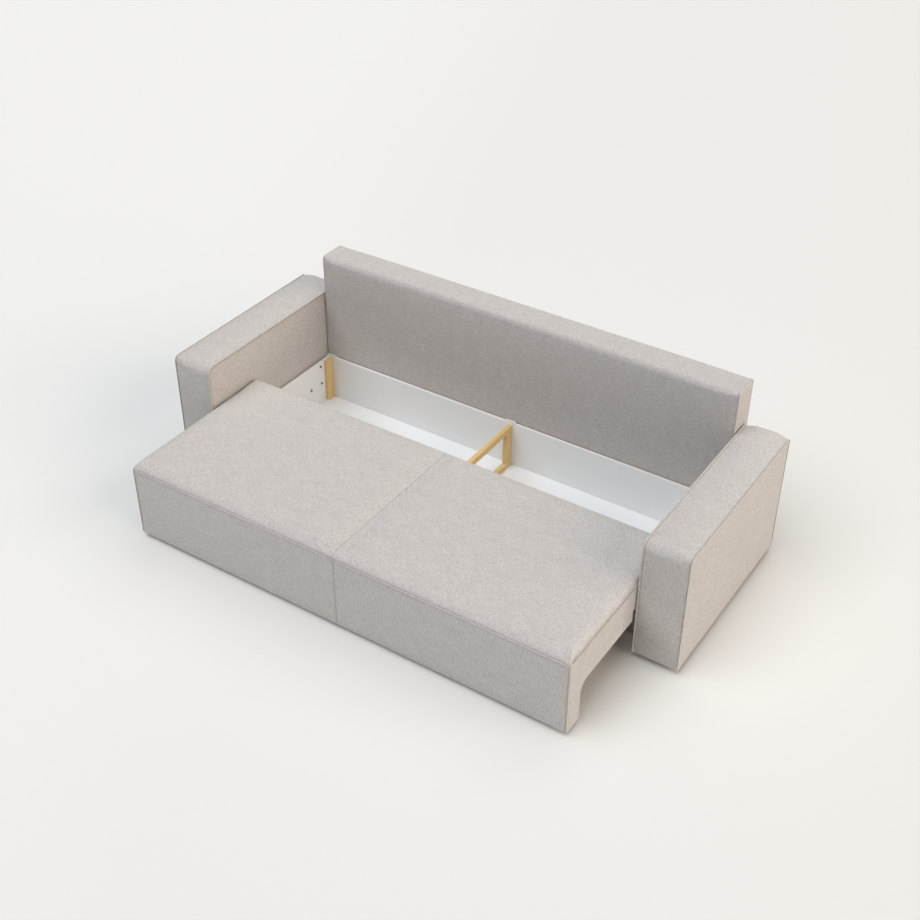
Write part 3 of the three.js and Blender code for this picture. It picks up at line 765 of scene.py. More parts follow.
class Repeat(Nodes):
    """A tree of geometry nodes with named inputs, which lays a form at many places."""

    def __init__(self, name, inputs):
        super().__init__(bpy.data.node_groups.new(name, "GeometryNodeTree"))
        interface = self.tree.interface
        interface.new_socket("Geometry", in_out="INPUT", socket_type="NodeSocketGeometry")
        for label, kind in (*inputs, ("Radius", "NodeSocketFloat"), ("Material", "NodeSocketMaterial")):
            interface.new_socket(label, in_out="INPUT", socket_type=kind)
        interface.new_socket("Geometry", in_out="OUTPUT", socket_type="NodeSocketGeometry")
        self.given = self.node("NodeGroupInput")

    def close(self, points, form, facing, size):
        """Lays the form at the points, realizes the instances and gives them their material."""
        turn = self.node("FunctionNodeAlignRotationToVector", {"axis": "Z"}, {"Vector": facing})
        placed = self.node("GeometryNodeInstanceOnPoints", None, {
            "Points": points, "Instance": form, "Rotation": turn["Rotation"], "Scale": size})
        real = self.node("GeometryNodeRealizeInstances", None, {"Geometry": placed["Instances"]})
        done = self.node("GeometryNodeSetMaterial", None, {
            "Geometry": real["Geometry"], "Material": self.given["Material"]})
        self.node("NodeGroupOutput", None, {"Geometry": done["Geometry"]})

    def run(self, name, source, values):
        """The repeated pieces round a source mesh, as one plain object."""
        modifier = source.modifiers.new("Repeat", "NODES")
        modifier.node_group = self.tree
        for item in self.tree.interface.items_tree:
            if item.item_type == "SOCKET" and item.name in values:
                modifier[item.identifier] = values[item.name]
        depsgraph = bpy.context.evaluated_depsgraph_get()
        mesh = bpy.data.meshes.new_from_object(source.evaluated_get(depsgraph), depsgraph=depsgraph)
        source.modifiers.remove(modifier)
        bpy.data.objects.remove(source)
        mesh.name = name
        mesh.shade_smooth()
        return new_object(name, mesh)


def stitch_tree():
    """Stitches along the edges of a mesh, one at each pitch."""
    repeat = Repeat("stitches", (("Pitch", "NodeSocketFloat"), ("Length", "NodeSocketFloat")))
    line = repeat.node("GeometryNodeMeshToCurve", None, {"Mesh": repeat.given["Geometry"]})
    even = repeat.node("GeometryNodeResampleCurve", {"mode": "LENGTH"}, {
        "Curve": line["Curve"], "Length": repeat.given["Pitch"]})
    ball = repeat.node("GeometryNodeMeshUVSphere", None, {"Segments": 6, "Rings": 4, "Radius": 1.0})
    tangent = repeat.node("GeometryNodeInputTangent")
    radius = repeat.given["Radius"]
    size = repeat.vector(radius, radius, repeat.given["Length"] * 0.5)
    repeat.close(even["Curve"], ball["Mesh"], tangent["Tangent"], size)
    return repeat


def head_tree():
    """Bolts' heads on points, each turned to face as its point says."""
    repeat = Repeat("heads", (("Head", "NodeSocketObject"),))
    facing = repeat.node("GeometryNodeInputNamedAttribute", {"data_type": "FLOAT_VECTOR"}, {
        "Name": "facing"})
    head = repeat.node("GeometryNodeObjectInfo", {"transform_space": "ORIGINAL"}, {
        "Object": repeat.given["Head"]})
    radius = repeat.given["Radius"]
    repeat.close(repeat.given["Geometry"], head["Geometry"], facing["Attribute"],
                 repeat.vector(radius, radius, radius))
    return repeat


def sew(name, lines, body):
    """Rows of stitches along lines of points, as one piece."""
    settings = bpy.context.scene.sofa_seams
    points, edges = [], []
    for line in lines:
        start = len(points)
        points.extend(tuple(point) for point in line)
        edges.extend((start + i, start + i + 1) for i in range(len(line) - 1))
    mesh = bpy.data.meshes.new(name)
    mesh.from_pydata(points, edges, [])
    source = new_object(name + "_line", mesh)
    made = stitch_tree().run(name, source, {
        "Pitch": settings.stitch_pitch, "Length": settings.stitch_length,
        "Radius": settings.stitch_radius, "Material": thread_material()})
    return finish_piece(made, body)


HEAD_STEPS = 24
HEAD_RINGS = ((1.0, 0.0), (1.0, 0.22), (0.93, 0.42), (0.72, 0.56))
SOCKET_FLAT, SOCKET_TOP, SOCKET_FLOOR, SOCKET_TAPER = 0.42, 0.60, 0.22, 0.9


def head_form():
    """A bolt's head of radius 1 that stands on Z = 0, with a hexagon socket cut in."""
    angles = np.linspace(0, 2 * math.pi, HEAD_STEPS, endpoint=False)
    circle = np.stack((np.cos(angles), np.sin(angles)), -1)
    socket = circle * (SOCKET_FLAT / np.cos((angles + math.pi / 6) % (math.pi / 3) - math.pi / 6))[:, None]
    levels = [(circle * radius, height) for radius, height in HEAD_RINGS]
    levels += [(socket, SOCKET_TOP), (socket * SOCKET_TAPER, SOCKET_FLOOR)]
    rings = [np.column_stack((ring, np.full(HEAD_STEPS, height))) for ring, height in levels]
    points = np.concatenate((*rings, [[0, 0, SOCKET_FLOOR]], [[0, 0, 0]]))
    middle, under = len(points) - 2, len(points) - 1
    faces = ring_faces(len(rings), HEAD_STEPS)
    for i in range(HEAD_STEPS):
        after, last = (i + 1) % HEAD_STEPS, middle - HEAD_STEPS
        faces += [(last + i, last + after, middle), (i, under, after)]
    return mesh_object("bolt_head", points, faces, (), smooth=False)


def fasten(name, places, facings, radius, finish, body):
    """Bolts with their heads at the given places, as one piece."""
    mesh = bpy.data.meshes.new(name)
    mesh.from_pydata([tuple(place) for place in places], [], [])
    attribute = mesh.attributes.new("facing", "FLOAT_VECTOR", "POINT")
    attribute.data.foreach_set("vector", np.array(facings, np.float32).ravel())
    source = new_object(name + "_points", mesh)
    head = head_form()
    made = head_tree().run(name, source, {"Head": head, "Radius": radius, "Material": finish})
    bpy.data.objects.remove(head)
    made.data.set_sharp_from_angle(angle=math.radians(35))
    return finish_piece(made, body)


# Stage

FLOOR_REACH = 30.0
FLOOR_SLANT = 0.35
# Where the floor's painted shade in the middle and its painted window light on the right fade in
SHADE_BLEND, WINDOW_BLEND = (-2.2, -0.6), (0.8, 2.8)
FRONT_LAMP, REAR_LAMP, WINDOW = (-0.2, -0.4, 0.9), (0, 0.5, 0.87), (0.93, 0.08, 0.36)
CAMERA_PLACE, CAMERA_TARGET = (2.5873, -3.8039, 3.7612), (-0.0021, 0.1670, 0.2845)
SENSOR_WIDTH = 36.0


class SOFA_OT_stage(bpy.types.Operator):
    """Makes the floor, the soft light and the camera"""
    bl_idname = "sofa.stage"
    bl_label = "Stage"

    def execute(self, context):
        settings = context.scene.sofa_stage
        context.scene.view_settings.view_transform = "Standard"
        self.floor(settings)
        self.room(context, settings)
        self.lamps(context, settings)
        self.camera(context, settings)
        return {"FINISHED"}

    def floor(self, settings):
        corners = [(x * FLOOR_REACH, y * FLOOR_REACH, 0) for x, y in ((-1, -1), (1, -1), (1, 1), (-1, 1))]
        mesh = bpy.data.meshes.new("floor")
        mesh.from_pydata(corners, [], [(0, 1, 2, 3)])
        floor = new_object("floor", mesh, (material("plain_floor", self.paint_floor, settings),))

    @staticmethod
    def paint_floor(s, settings):
        """Matt floor, which the camera and mirrored views see with its shadows lightened; its colour holds
        painted shade in the middle and painted window light on the right.
        """
        across, along, _ = s.axes(s.place())
        side = across + along * FLOOR_SLANT
        # Painted shade in the middle of the floor, and painted window light on its right
        color = s.mix(side.ramp(*SHADE_BLEND), opaque(settings.floor_color), opaque(settings.painted_shade_floor))
        color = s.mix(side.ramp(*WINDOW_BLEND), color, opaque(settings.painted_window_floor))
        thrown = opaque([c * settings.bounce for c in settings.floor_color])
        matt, dim = (s.principled(Base_Color=base, Roughness=1.0, Specular_IOR_Level=0.0)
                     for base in (color, thrown))
        glow = s.principled(Base_Color=opaque((0, 0, 0)), Specular_IOR_Level=0.0,
                            Emission_Color=color, Emission_Strength=1.0)
        s.output(s.blend(s.seen_ray(), dim, s.blend(settings.shadow_lift, matt, glow)))

    def room(self, context, settings):
        """Light from all round, and the floor's own colour behind everything."""
        world = bpy.data.worlds.new("soft_room")
        context.scene.world = world
        s = Shader(world)
        across, _, _ = s.axes(s.node("ShaderNodeTexCoord")["Generated"])
        color = s.mix(across.ramp(-0.8, 0.8), opaque(settings.left_color), opaque(settings.right_color))
        room, backdrop = (
            s.node("ShaderNodeBackground", None, {"Color": tone, "Strength": strength})["Background"]
            for tone, strength in ((color, settings.sky_strength), (opaque(settings.floor_color), 1.0)))
        s.output(s.blend(s.seen_ray(), room, backdrop), "ShaderNodeOutputWorld")

    def lamps(self, context, settings):
        for name, color, strength, towards in (
                ("front_lamp", settings.front_lamp_color, settings.front_lamp_strength, FRONT_LAMP),
                ("rear_lamp", settings.rear_lamp_color, settings.rear_lamp_strength, REAR_LAMP),
                ("window", settings.window_color, settings.window_strength, WINDOW)):
            lamp = bpy.data.lights.new(name, "SUN")
            lamp.energy, lamp.angle, lamp.color = strength, settings.light_spread, color
            light = bpy.data.objects.new(name, lamp)
            light.rotation_mode = "QUATERNION"
            light.rotation_quaternion = Vector(towards).to_track_quat("Z", "Y")
            context.scene.collection.objects.link(light)

    def camera(self, context, settings):
        place = Vector(CAMERA_PLACE)
        back = (place - Vector(CAMERA_TARGET)).normalized()
        across = Vector((0, 0, 1)).cross(back).normalized()
        up = back.cross(across)
        cos, sin = math.cos(settings.camera_roll), math.sin(settings.camera_roll)
        turn = Matrix((cos * across + sin * up, -sin * across + cos * up, back)).transposed()
        lens = bpy.data.cameras.new("camera")
        lens.lens, lens.sensor_width = settings.lens, SENSOR_WIDTH
        lens.clip_start, lens.clip_end = 0.05, 200.0
        camera = bpy.data.objects.new("camera", lens)
        camera.matrix_world = Matrix.Translation(place) @ turn.to_4x4()
        context.scene.collection.objects.link(camera)
        context.scene.camera = camera


# Upholstery

SEAT_FRONT = span_of("seat_front_pad")[0][1]
SEAT_BOTTOM = span_of("seat_front_pad")[0][2]
WELT_HEIGHT = span_of("seat_front_pad")[1][2]
SIDE_SEAM_HEIGHT = WELT_HEIGHT + 8 * MM
SEAT_HALF = span_of("seat_front_pad")[1][0]

# Thickness of the thread in each seam, as a share of the seam radius; the dark thread is partly painted
# shade along the seam, thickest on the left arm's outer seams as painted shade in their grooves
MIDDLE_THREAD, SIDE_THREAD, BACKREST_THREAD = 0.4, 0.7, 0.6
BAND_THREAD, INNER_THREAD, REAR_THREAD = 0.85, 0.8, 0.9
OUTER_SHADE_THREADS = {LEFT: 1.5, RIGHT: 0.8}

# Swelling of the foam, as a share of what the seat's top may swell
FRONT_SWELL, ARM_SWELL, BACKREST_SWELL = 0.5, 0.6, 0.6

# How tightly each cover is meant to be filled, from empty to hard; nothing in the script uses these values
SEAT_FILL, FRONT_FILL, ARM_FILL, BACKREST_FILL = 0.55, 0.75, 0.85, 0.8

ROLL_SHARE = 0.78
CORNER_SHARE = 0.36
CUSHION_CROWN = 4 * MM
CUSHION_CORNER = 38 * MM
FRONT_CROWN, MIDDLE_SEAM = 2.2 * MM, 2.2 * MM


def cushion_form(side, step):
    """One half of the seat: crowned on top, rolled over its front, and gathered at its seams."""
    low, high = span_of("seat_cushion_right")
    high[2] -= CUSHION_CROWN
    outer, inner, front, rear, top = 15 * MM, 0.6 * MM, 44 * MM, 25 * MM, 25 * MM
    heights = [WELT_HEIGHT + offset * MM for offset in (-9, -3, -0.5, 1.2, 3.5, 7)]

    def corner(z):
        wide = smooth_step(z, WELT_HEIGHT + 2 * MM, WELT_HEIGHT + 22 * MM)
        return CORNER_SHARE + (1 - CORNER_SHARE) * wide

    points, quads, facing = padded_box(
        low, high, (inner, front, 3 * MM), (outer, rear, top), step,
        ((low[0] + 6 * MM, low[0] + 18 * MM), (), heights), corner)
    x, y, z = points.T.copy()
    outward, forward, upward = (np.clip(way, 0, 1) for way in (facing[:, 0], -facing[:, 1], facing[:, 2]))

    # The front rolls over in a flatter curve than a quarter circle
    tilt = np.arctan2(forward, upward)
    roll = np.sin(tilt) - np.sin(tilt * ROLL_SHARE) / math.sin(math.pi / 2 * ROLL_SHARE)
    y += front * roll * (facing[:, 1] < 0) * (1 - outward ** 2)
    outward, forward, upward = outward ** 2, forward ** 2, upward ** 2

    # Crown of the top, with a shallow seam in the middle of the seat
    crown = swell(x, low[0], high[0], 6) * swell(y, low[1], high[1], 6)
    z += upward * (CUSHION_CROWN * crown - 0.4 * MM * near(x - low[0], 20 * MM))

    # The edges draw in above the welt and above the side seams, and lie behind them further down
    tuck = 1.6 * MM * np.clip((WELT_HEIGHT + 5 * MM - z) / (5 * MM), 0, 1) ** 2
    behind = 15 * MM * smooth_step(z, WELT_HEIGHT - 0.5 * MM, WELT_HEIGHT - 3 * MM)
    y += forward * (tuck + behind)
    y += forward * gathers(1.3 * MM, x, 1.3, z - WELT_HEIGHT - 14 * MM, 13 * MM)
    below = smooth_step(z, SIDE_SEAM_HEIGHT, SIDE_SEAM_HEIGHT - 3 * MM)
    x -= outward * (x > low[0] + outer) * below * 3.5 * MM
    z += upward * gathers(0.7 * MM, y, 2.1, x - low[0] - 14 * MM, 12 * MM)
    z += upward * gathers(0.8 * MM, x, 0.4, y - high[1] + 30 * MM, 16 * MM)
    z += upward * gathers(0.9 * MM, x * 0.7, 2.4, y - low[1] - 45 * MM, 24 * MM)

    # The outer rear corner is round as seen from above
    u = np.clip((x - high[0] + CUSHION_CORNER) / CUSHION_CORNER, 0, 1)
    v = np.clip((y - high[1] + CUSHION_CORNER) / CUSHION_CORNER, 0, 1)
    reach = CUSHION_CORNER * smooth_step(z, SIDE_SEAM_HEIGHT, SIDE_SEAM_HEIGHT + 12 * MM)
    x -= reach * u * (1 - np.sqrt(1 - v * v / 2))
    y -= reach * v * (1 - np.sqrt(1 - u * u / 2))
    pins = np.maximum.reduce((
        smooth_step(z, WELT_HEIGHT + 4 * MM, WELT_HEIGHT - 2 * MM),
        smooth_step(x, low[0] + 70 * MM, low[0] + 3 * MM),
        smooth_step(facing[:, 1], 0.5, 0.9),
        smooth_step(x, high[0] - outer * 0.5, high[0]) * (z < SIDE_SEAM_HEIGHT + 3 * MM)))
    return np.column_stack((x * side, y, z)), quads, pins


def front_form(step):
    """Padding of the seat's front, with the seam that parts its halves."""
    low, high = span_of("seat_front_pad")
    low[1] -= 0.5 * MM
    groove = (0, 1.1 * MM, 2.4 * MM, 6 * MM, 11 * MM)
    points, quads, facing = padded_box(
        low, high, (9 * MM, 11 * MM, 14 * MM), (9 * MM, 4 * MM, 4 * MM), step,
        (sorted({sign * place for place in groove for sign in (-1, 1)}), (), ()))
    x, y, z = points.T.copy()
    forward = np.clip(-facing[:, 1], 0, 1) ** 2
    y -= forward * FRONT_CROWN * swell(np.abs(x), 0, high[0], 6) * swell(z, low[2], high[2], 4)
    y += forward * (MIDDLE_SEAM * near(x, 1.1 * MM) + 0.7 * MM * near(x, 9 * MM))
    y += forward * gathers(0.7 * MM, x, 3.3, z - high[2] + 14 * MM, 12 * MM)
    y += forward * gathers(0.3 * MM, z, 0.9, np.abs(x) - 15 * MM, 8 * MM)
    pins = np.maximum.reduce((
        near(x, 4 * MM), (y > low[1] + 6 * MM) * 1.0,
        smooth_step(z, high[2] - 8 * MM, high[2] - 2 * MM),
        smooth_step(z, low[2] + 8 * MM, low[2] + 2 * MM)))
    return np.column_stack((x, y, z)), quads, pins


def prism(outline, near_x, far_x, side):
    """Points and faces of an outline in Y and Z, drawn out along X and mirrored to a side."""
    count = len(outline)
    points = [(side * x, y, z) for x in (near_x, far_x) for y, z in outline]
    faces = [tuple(range(count)), tuple(range(count, 2 * count)), *ring_faces(2, count)]
    return points, faces


class SOFA_OT_seat(bpy.types.Operator):
    """Makes the seat's cushions, front, sides, welt and corner piping"""
    bl_idname = "sofa.seat"
    bl_label = "Seat covers"

    def execute(self, context):
        step = context.scene.sofa_cloth.mesh_step
        pads = [(pad_object(f"seat_top_{name}", cushion_form(side, step)), SEAT_FILL,
                 f"seat_cushion_{name}") for name, side in SIDES]
        pads.append((pad_object("seat_front_cover", front_form(step), FRONT_SWELL), FRONT_FILL,
                     "seat_front_pad"))
        settle([pad for pad, _, _ in pads])
        for pad, fill, node in pads:
            finish_pad(pad, "seat", (node,))
        for name, side in SIDES:
            self.side_cover(name, side)
        self.welt(context.scene.sofa_seams)
        for name, side in SIDES:
            self.piping(name, side, context.scene.sofa_seams)
        return {"FINISHED"}

    def side_cover(self, name, side):
        """L-shaped side: a cloth skirt that hangs beside the box, over a board above the box."""
        low, high = span_of(f"seat_side_{name}")
        front, rear = SEAT_FRONT + 1.2 * MM, high[1]
        leg = span_of("seat_inner_board")[1][1]
        step_rear = span_of("arm_cover_left")[0][1] - 10 * MM
        rail = span_of("seat_rear_rail")[0][2]
        slab, fillet, top = 195 * MM, 45 * MM, SIDE_SEAM_HEIGHT - 0.4 * MM
        toe, hidden = 12 * MM, 1 * MM
        bend = [(leg + fillet + fillet * math.cos(angle), slab - fillet + fillet * math.sin(angle))
                for angle in np.linspace(math.pi, math.pi / 2, 13)]
        skirt = [(front, low[2] + toe), (front + 0.3 * toe, low[2] + 0.3 * toe), (front + toe, low[2]),
                 (leg, low[2]), *bend, (step_rear, slab), (step_rear, rail), (rear, rail), (rear, top),
                 (front, top)]
        board = [(low[1] + toe, low[2] + toe), (leg - hidden, low[2] + toe), (leg - hidden, rail),
                 (rear - hidden, rail), (rear - hidden, high[2]), (low[1], high[2])]
        points, faces = prism(skirt, SEAT_HALF - 3.2 * MM, SEAT_HALF + 0.6 * MM, side)
        more, panels = prism(board, SEAT_HALF - 18 * MM, SEAT_HALF - hidden, side)
        finishes = [0] * len(faces) + [1] * len(panels)
        faces += [tuple(len(points) + i for i in panel) for panel in panels]
        made = mesh_object(f"seat_side_cover_{name}", points + more, faces,
                           (cloth_material(), plywood_material()))
        made.data.polygons.foreach_set("material_index", finishes)
        add_modifier(made, "BEVEL", width=1.5 * MM, segments=3, limit_method="ANGLE",
                     angle_limit=math.radians(40), harden_normals=True)
        bake_modifiers(made)
        finish_piece(made, "seat", (f"seat_side_{name}",), weave=True)

    def welt(self, settings):
        """The corded seam below the seat's front edge, with its ends tucked in."""
        reach, tucked = SEAT_HALF - 6 * MM, 7 * MM
        start, end = ((x, SEAT_FRONT + 4 * MM, WELT_HEIGHT + 0.8 * MM) for x in (-reach, reach))
        line = [(x, SEAT_FRONT - 2 * MM, WELT_HEIGHT + 1 * MM)
                for x in np.linspace(-reach + tucked, reach - tucked, 220)]
        welt = tube("seat_welt", [start, *line, end], settings.welt_radius, (cloth_material(),))
        finish_piece(welt, "seat", weave=True)

    def piping(self, name, side, settings):
        """The two ridges that run down a front corner of the seat."""
        foot, top = SEAT_BOTTOM + 14 * MM, WELT_HEIGHT - 4 * MM
        for place, x, y in (("front", SEAT_HALF - 0.4 * MM, SEAT_FRONT + 0.9 * MM),
                            ("side", SEAT_HALF + 0.1 * MM, SEAT_FRONT + 10 * MM)):
            start = (side * (x - 4 * MM), y + 3 * MM, foot - 5 * MM)
            line = [(side * x, y, z) for z in np.linspace(foot, top, 24)]
            end = (side * (x - 3 * MM), y + 2 * MM, top + 3 * MM)
            ridge = tube(f"seat_corner_{place}_{name}", [start, *line, end], settings.piping_radius,
                         (cloth_material(),))
            finish_piece(ridge, "seat", weave=True)


def silhouette(low, high, inset, radii, steps):
    """An arm's or the backrest's outline in Y and Z, from its front foot round to it again."""
    corner, along, up = steps
    front, rear, hem = radii[0] - inset, radii[1] - inset, radii[2]
    y0, y1, z0, z1 = low[1] + inset, high[1] - inset, low[2], high[2] - inset
    centres = ((y0 + hem, z0 + hem, hem, 180), (y1 - hem, z0 + hem, hem, 270),
               (y1 - rear, z1 - rear, rear, 0), (y0 + front, z1 - front, front, 90))

    def on_corner(index, degrees):
        y, z, radius, _ = centres[index]
        angle = math.radians(degrees)
        return np.array((y + radius * math.cos(angle), z + radius * math.sin(angle)))

    points = []
    for index, (_, _, _, start) in enumerate(centres):
        points.extend(on_corner(index, start + turn) for turn in np.linspace(0, 90, 2 * corner + 1))
        after = (index + 1) % 4
        begin, end = points[-1], on_corner(after, centres[after][3])
        count = along if index % 2 == 0 else up
        points.extend(begin + (end - begin) * share for share in np.arange(1, count) / count)
    return np.roll(np.array(points), -corner, axis=0)


def over_top(outline, low, high, foot):
    """The part of an outline above its foot, from the front over the top to the rear."""
    above = outline[outline[:, 1] > low[2] + foot]
    middle = (low[1] + high[1]) / 2
    return above[np.argsort(-np.arctan2(above[:, 1] - low[2], above[:, 0] - middle))]


def coons(outline, steps):
    """A grid of points that fills an outline, blended from its four sides."""
    corner, along, up = steps
    n, m = 2 * corner + along, 2 * corner + up
    closed = np.concatenate((outline, outline[:1]))
    bottom, right = closed[:n + 1], closed[n:n + m + 1]
    top, left = closed[n + m:2 * n + m + 1][::-1], closed[2 * n + m:][::-1]

    def share(first, second):
        lengths = [np.concatenate(([0], np.cumsum(np.linalg.norm(np.diff(line, axis=0), axis=1))))
                   for line in (first, second)]
        return sum(length / length[-1] for length in lengths) / 2

    u, v = share(bottom, top)[:, None, None], share(left, right)[None, :, None]
    return ((1 - v) * bottom[:, None] + v * top[:, None] + (1 - u) * left[None] + u * right[None]
            - (1 - u) * (1 - v) * bottom[0] - u * (1 - v) * bottom[-1]
            - (1 - u) * v * top[0] - u * v * top[-1])


OUTER_ROUND, INNER_ROUND, REAR_ROUND, HEM_ROUND = 29 * MM, 43 * MM, 9 * MM, 4 * MM
EDGE_INSET = 5 * MM
BAND_CROWN, REAR_CROWN = 4.6 * MM, 5 * MM
BAND_STATIONS, BAND_POWER = 11, 2.4
SEAM_PIN, BAND_PIN, PANEL_PIN = 1.0, 0.7, 0.9
OUTER_PUFF, INNER_PUFF = 3.4 * MM, 0.7 * MM
OUTER_GATHER, INNER_GATHER = 0.5 * MM, 0.2 * MM


def flange_profile(ridge, groove):
    """A sewn edge from an arm's panel to its band: a ridge, then the groove of its seam."""
    seam = 5.2
    top = seam - groove
    return [(x * MM, inset * MM) for x, inset in (
        (1.2, 7.4), (0.4, 5.4), (0.2, top + 3), (0.5, top + 1), (1.4, top + 0.1), (ridge - 1.2, top),
        (ridge - 0.2, top + groove * 0.2), (ridge + 0.5, top + groove * 0.6), (ridge + 1.3, seam),
        (ridge + 2.4, 5.4), (ridge + 3.8, 4.9), (ridge + 8, 4.7))]


def arm_radii(side, share):
    """Roundings of an arm's outline, at a share of its width from left to right."""
    inward = share if side == LEFT else 1 - share
    return (OUTER_ROUND + (INNER_ROUND - OUTER_ROUND) * inward, REAR_ROUND, HEM_ROUND)


def ridge_of(side, face):
    """Width of an arm edge's ridge and depth of its groove, in millimetres: larger beside the seat."""
    return (3.6, 2.6) if face == side else (6.2, 5.0)


def arm_stations(side, width):
    """Where an arm's rings stand: place, inset, how firmly it is pinned, and bulge to the rear."""
    first, last = (flange_profile(*ridge_of(side, face)) for face in (LEFT, RIGHT))
    (start, start_inset), (from_end, end_inset) = first[-1], last[-1]
    end = width - from_end
    stations = [(x, inset, SEAM_PIN, 0) for x, inset in first[:-1]] + [(start, start_inset, BAND_PIN, 0)]
    for number in range(1, BAND_STATIONS):
        fall = abs(2 * number / BAND_STATIONS - 1) ** BAND_POWER
        place = start + (end - start) * number / BAND_STATIONS
        stations.append((place, BAND_CROWN * fall, 0.0, REAR_CROWN * (1 - fall)))
    stations.append((end, end_inset, BAND_PIN, 0))
    return stations + [(width - x, inset, SEAM_PIN, 0) for x, inset in reversed(last[:-1])]


def arm_ring(low, high, inset, radii, steps, crowned, bulge):
    """One ring round an arm: flush with its edges at the front foot, and full at the rear."""
    hem_top, hem_foot, hem_depth = low[2] + 190 * MM, low[2] + 50 * MM, low[1] + 60 * MM
    outline = silhouette(low, high, inset, radii, steps)
    if crowned:
        plain = silhouette(low, high, EDGE_INSET, radii, steps)
        hem = smooth_step(plain[:, 1], hem_top, hem_foot)[:, None] * (plain[:, :1] < hem_depth)
        outline = outline + hem * (plain - outline)
    y, z = outline.T
    rearward = bulge * smooth_step(y, low[1] + 250 * MM, high[1] - 40 * MM)
    behind = rearward * smooth_step(z, low[2], low[2] + 160 * MM)
    above = rearward * smooth_step(z, high[2] - 90 * MM, high[2] - 10 * MM)
    outline = outline + np.column_stack((behind, above))
    return np.concatenate((outline, outline[:1]))


def arm_panel(low, high, inset, radii, steps, outside, seed):
    """The panel at one end of an arm: points in Y and Z, its fullness, and how firmly it is pinned."""
    panel = coons(silhouette(low, high, inset, radii, steps), steps)
    y, z = panel[..., 0], panel[..., 1]
    edge = np.minimum.reduce((y - low[1], high[1] - y, high[2] - z))
    edge_reach, foot_reach = 70 * MM, 60 * MM
    puff = smooth_step(edge, inset, inset + edge_reach) * smooth_step(z, low[2], low[2] + foot_reach)
    full, gather = (OUTER_PUFF, OUTER_GATHER) if outside else (INNER_PUFF, INNER_GATHER)
    height = puff * (full + gathers(gather, y + z, seed, edge - 22 * MM, 16 * MM))
    pin = np.maximum(smooth_step(edge, inset + 6 * MM, inset), smooth_step(z, low[2] + 14 * MM, low[2]))
    return y, z, height, pin if outside else np.maximum(pin, PANEL_PIN)


def arm_form(name, side, step):
    """An arm: flat panels, a crowned band round them, and a sewn flange on each of its edges."""
    low, high = span_of(f"arm_cover_{name}")
    width = high[0] - low[0]
    steps = (4, int((high[1] - low[1]) / step), int((high[2] - low[2]) / step))
    stations = arm_stations(side, width)
    skin = Skin()
    rings, pins = [], []
    for x, inset, pin, bulge in stations:
        crowned = inset < EDGE_INSET and pin < SEAM_PIN
        ring = arm_ring(low, high, inset, arm_radii(side, x / width), steps, crowned, bulge)
        rings.append(np.column_stack((np.full(len(ring), low[0] + x), ring)))
        pins.append(np.maximum(pin, smooth_step(ring[:, 1], low[2] + 110 * MM, low[2] + 30 * MM)))
    skin.grid(np.array(rings), np.array(pins))
    for (x, inset, _, _), outward in ((stations[0], LEFT), (stations[-1], RIGHT)):
        y, z, height, pin = arm_panel(
            low, high, inset, arm_radii(side, x / width), steps, outward == side, side)
        skin.grid(np.stack((low[0] + x + outward * height, y, z), -1), pin)
    return skin.joined()


def arm_line(name, side, face, depth, inset):
    """A line along an arm's edge, up its front, over it and down its rear."""
    low, high = span_of(f"arm_cover_{name}")
    outline = silhouette(low, high, inset, arm_radii(side, (face + 1) / 2), (8, 30, 24))
    x = (low[0] + depth) if face == LEFT else (high[0] - depth)
    return [(x, y, z) for y, z in over_top(outline, low, high, 8 * MM)]


class SOFA_OT_arms(bpy.types.Operator):
    """Makes the upholstery of the two arms, and the threads along its seams"""
    bl_idname = "sofa.arms"
    bl_label = "Arms"

    def execute(self, context):
        step = context.scene.sofa_cloth.mesh_step
        pads = [pad_object(f"arm_upholstery_{name}", arm_form(name, side, step), ARM_SWELL)
                for name, side in SIDES]
        settle(pads)
        for (name, side), pad in zip(SIDES, pads):
            finish_pad(pad, "base", (f"arm_cover_{name}",))
            self.threads(name, side)
        return {"FINISHED"}

    # Dark threads in the arms' seams, partly sewing thread and partly painted shade along the seams
    def threads(self, name, side):
        inner = arm_line(name, side, -side, 0, 8.6 * MM)
        lay_thread_and_shade(f"arm_inner_thread_{name}", inner, "base", INNER_THREAD)
        rear = span_of(f"arm_cover_{name}")[1][1] - 12 * MM
        line = [point for point in arm_line(name, side, side, 0, 7.2 * MM) if point[1] > rear]
        lay_thread_and_shade(f"arm_rear_thread_{name}", line, "base", REAR_THREAD)
        for edge, face in SIDES:
            depth = (ridge_of(side, face)[0] + 1.9) * MM
            # Painted shade: the left arm's outer seams get a thicker dark thread than the right arm's
            share = OUTER_SHADE_THREADS[side] if face == side else BAND_THREAD
            line = arm_line(name, side, face, depth, 5.1 * MM)
            lay_thread_and_shade(f"arm_thread_{name}_{edge}", line, "base", share)


BACKREST_ROUND, END_ROUND, BACKREST_REAR_ROUND = 25 * MM, 16 * MM, 9 * MM
# From an end of the backrest inwards: place and inset of each ring of its sewn edge, in millimetres
BACKREST_EDGE = (
    (0.9, 4.6), (0.1, 3.0), (0.1, 1.6), (1.0, 0.5), (2.4, 0.1), (4.6, 0.0), (6.0, 0.5), (7.0, 1.5),
    (8.0, 0.5), (10.0, 0.1))
BELLY, FOOT_BELLY, REAR_LEAN, TOP_CROWN = 1.8 * MM, 0.8 * MM, 3 * MM, 3.4 * MM
HINGES = ("left", "centre", "right")


def backrest_radii(from_end):
    """Roundings of the backrest's outline, which tighten towards its ends."""
    top = END_ROUND + (BACKREST_ROUND - END_ROUND) * float(smooth_step(from_end, 6 * MM, 90 * MM))
    return (top, BACKREST_REAR_ROUND, 3 * MM)


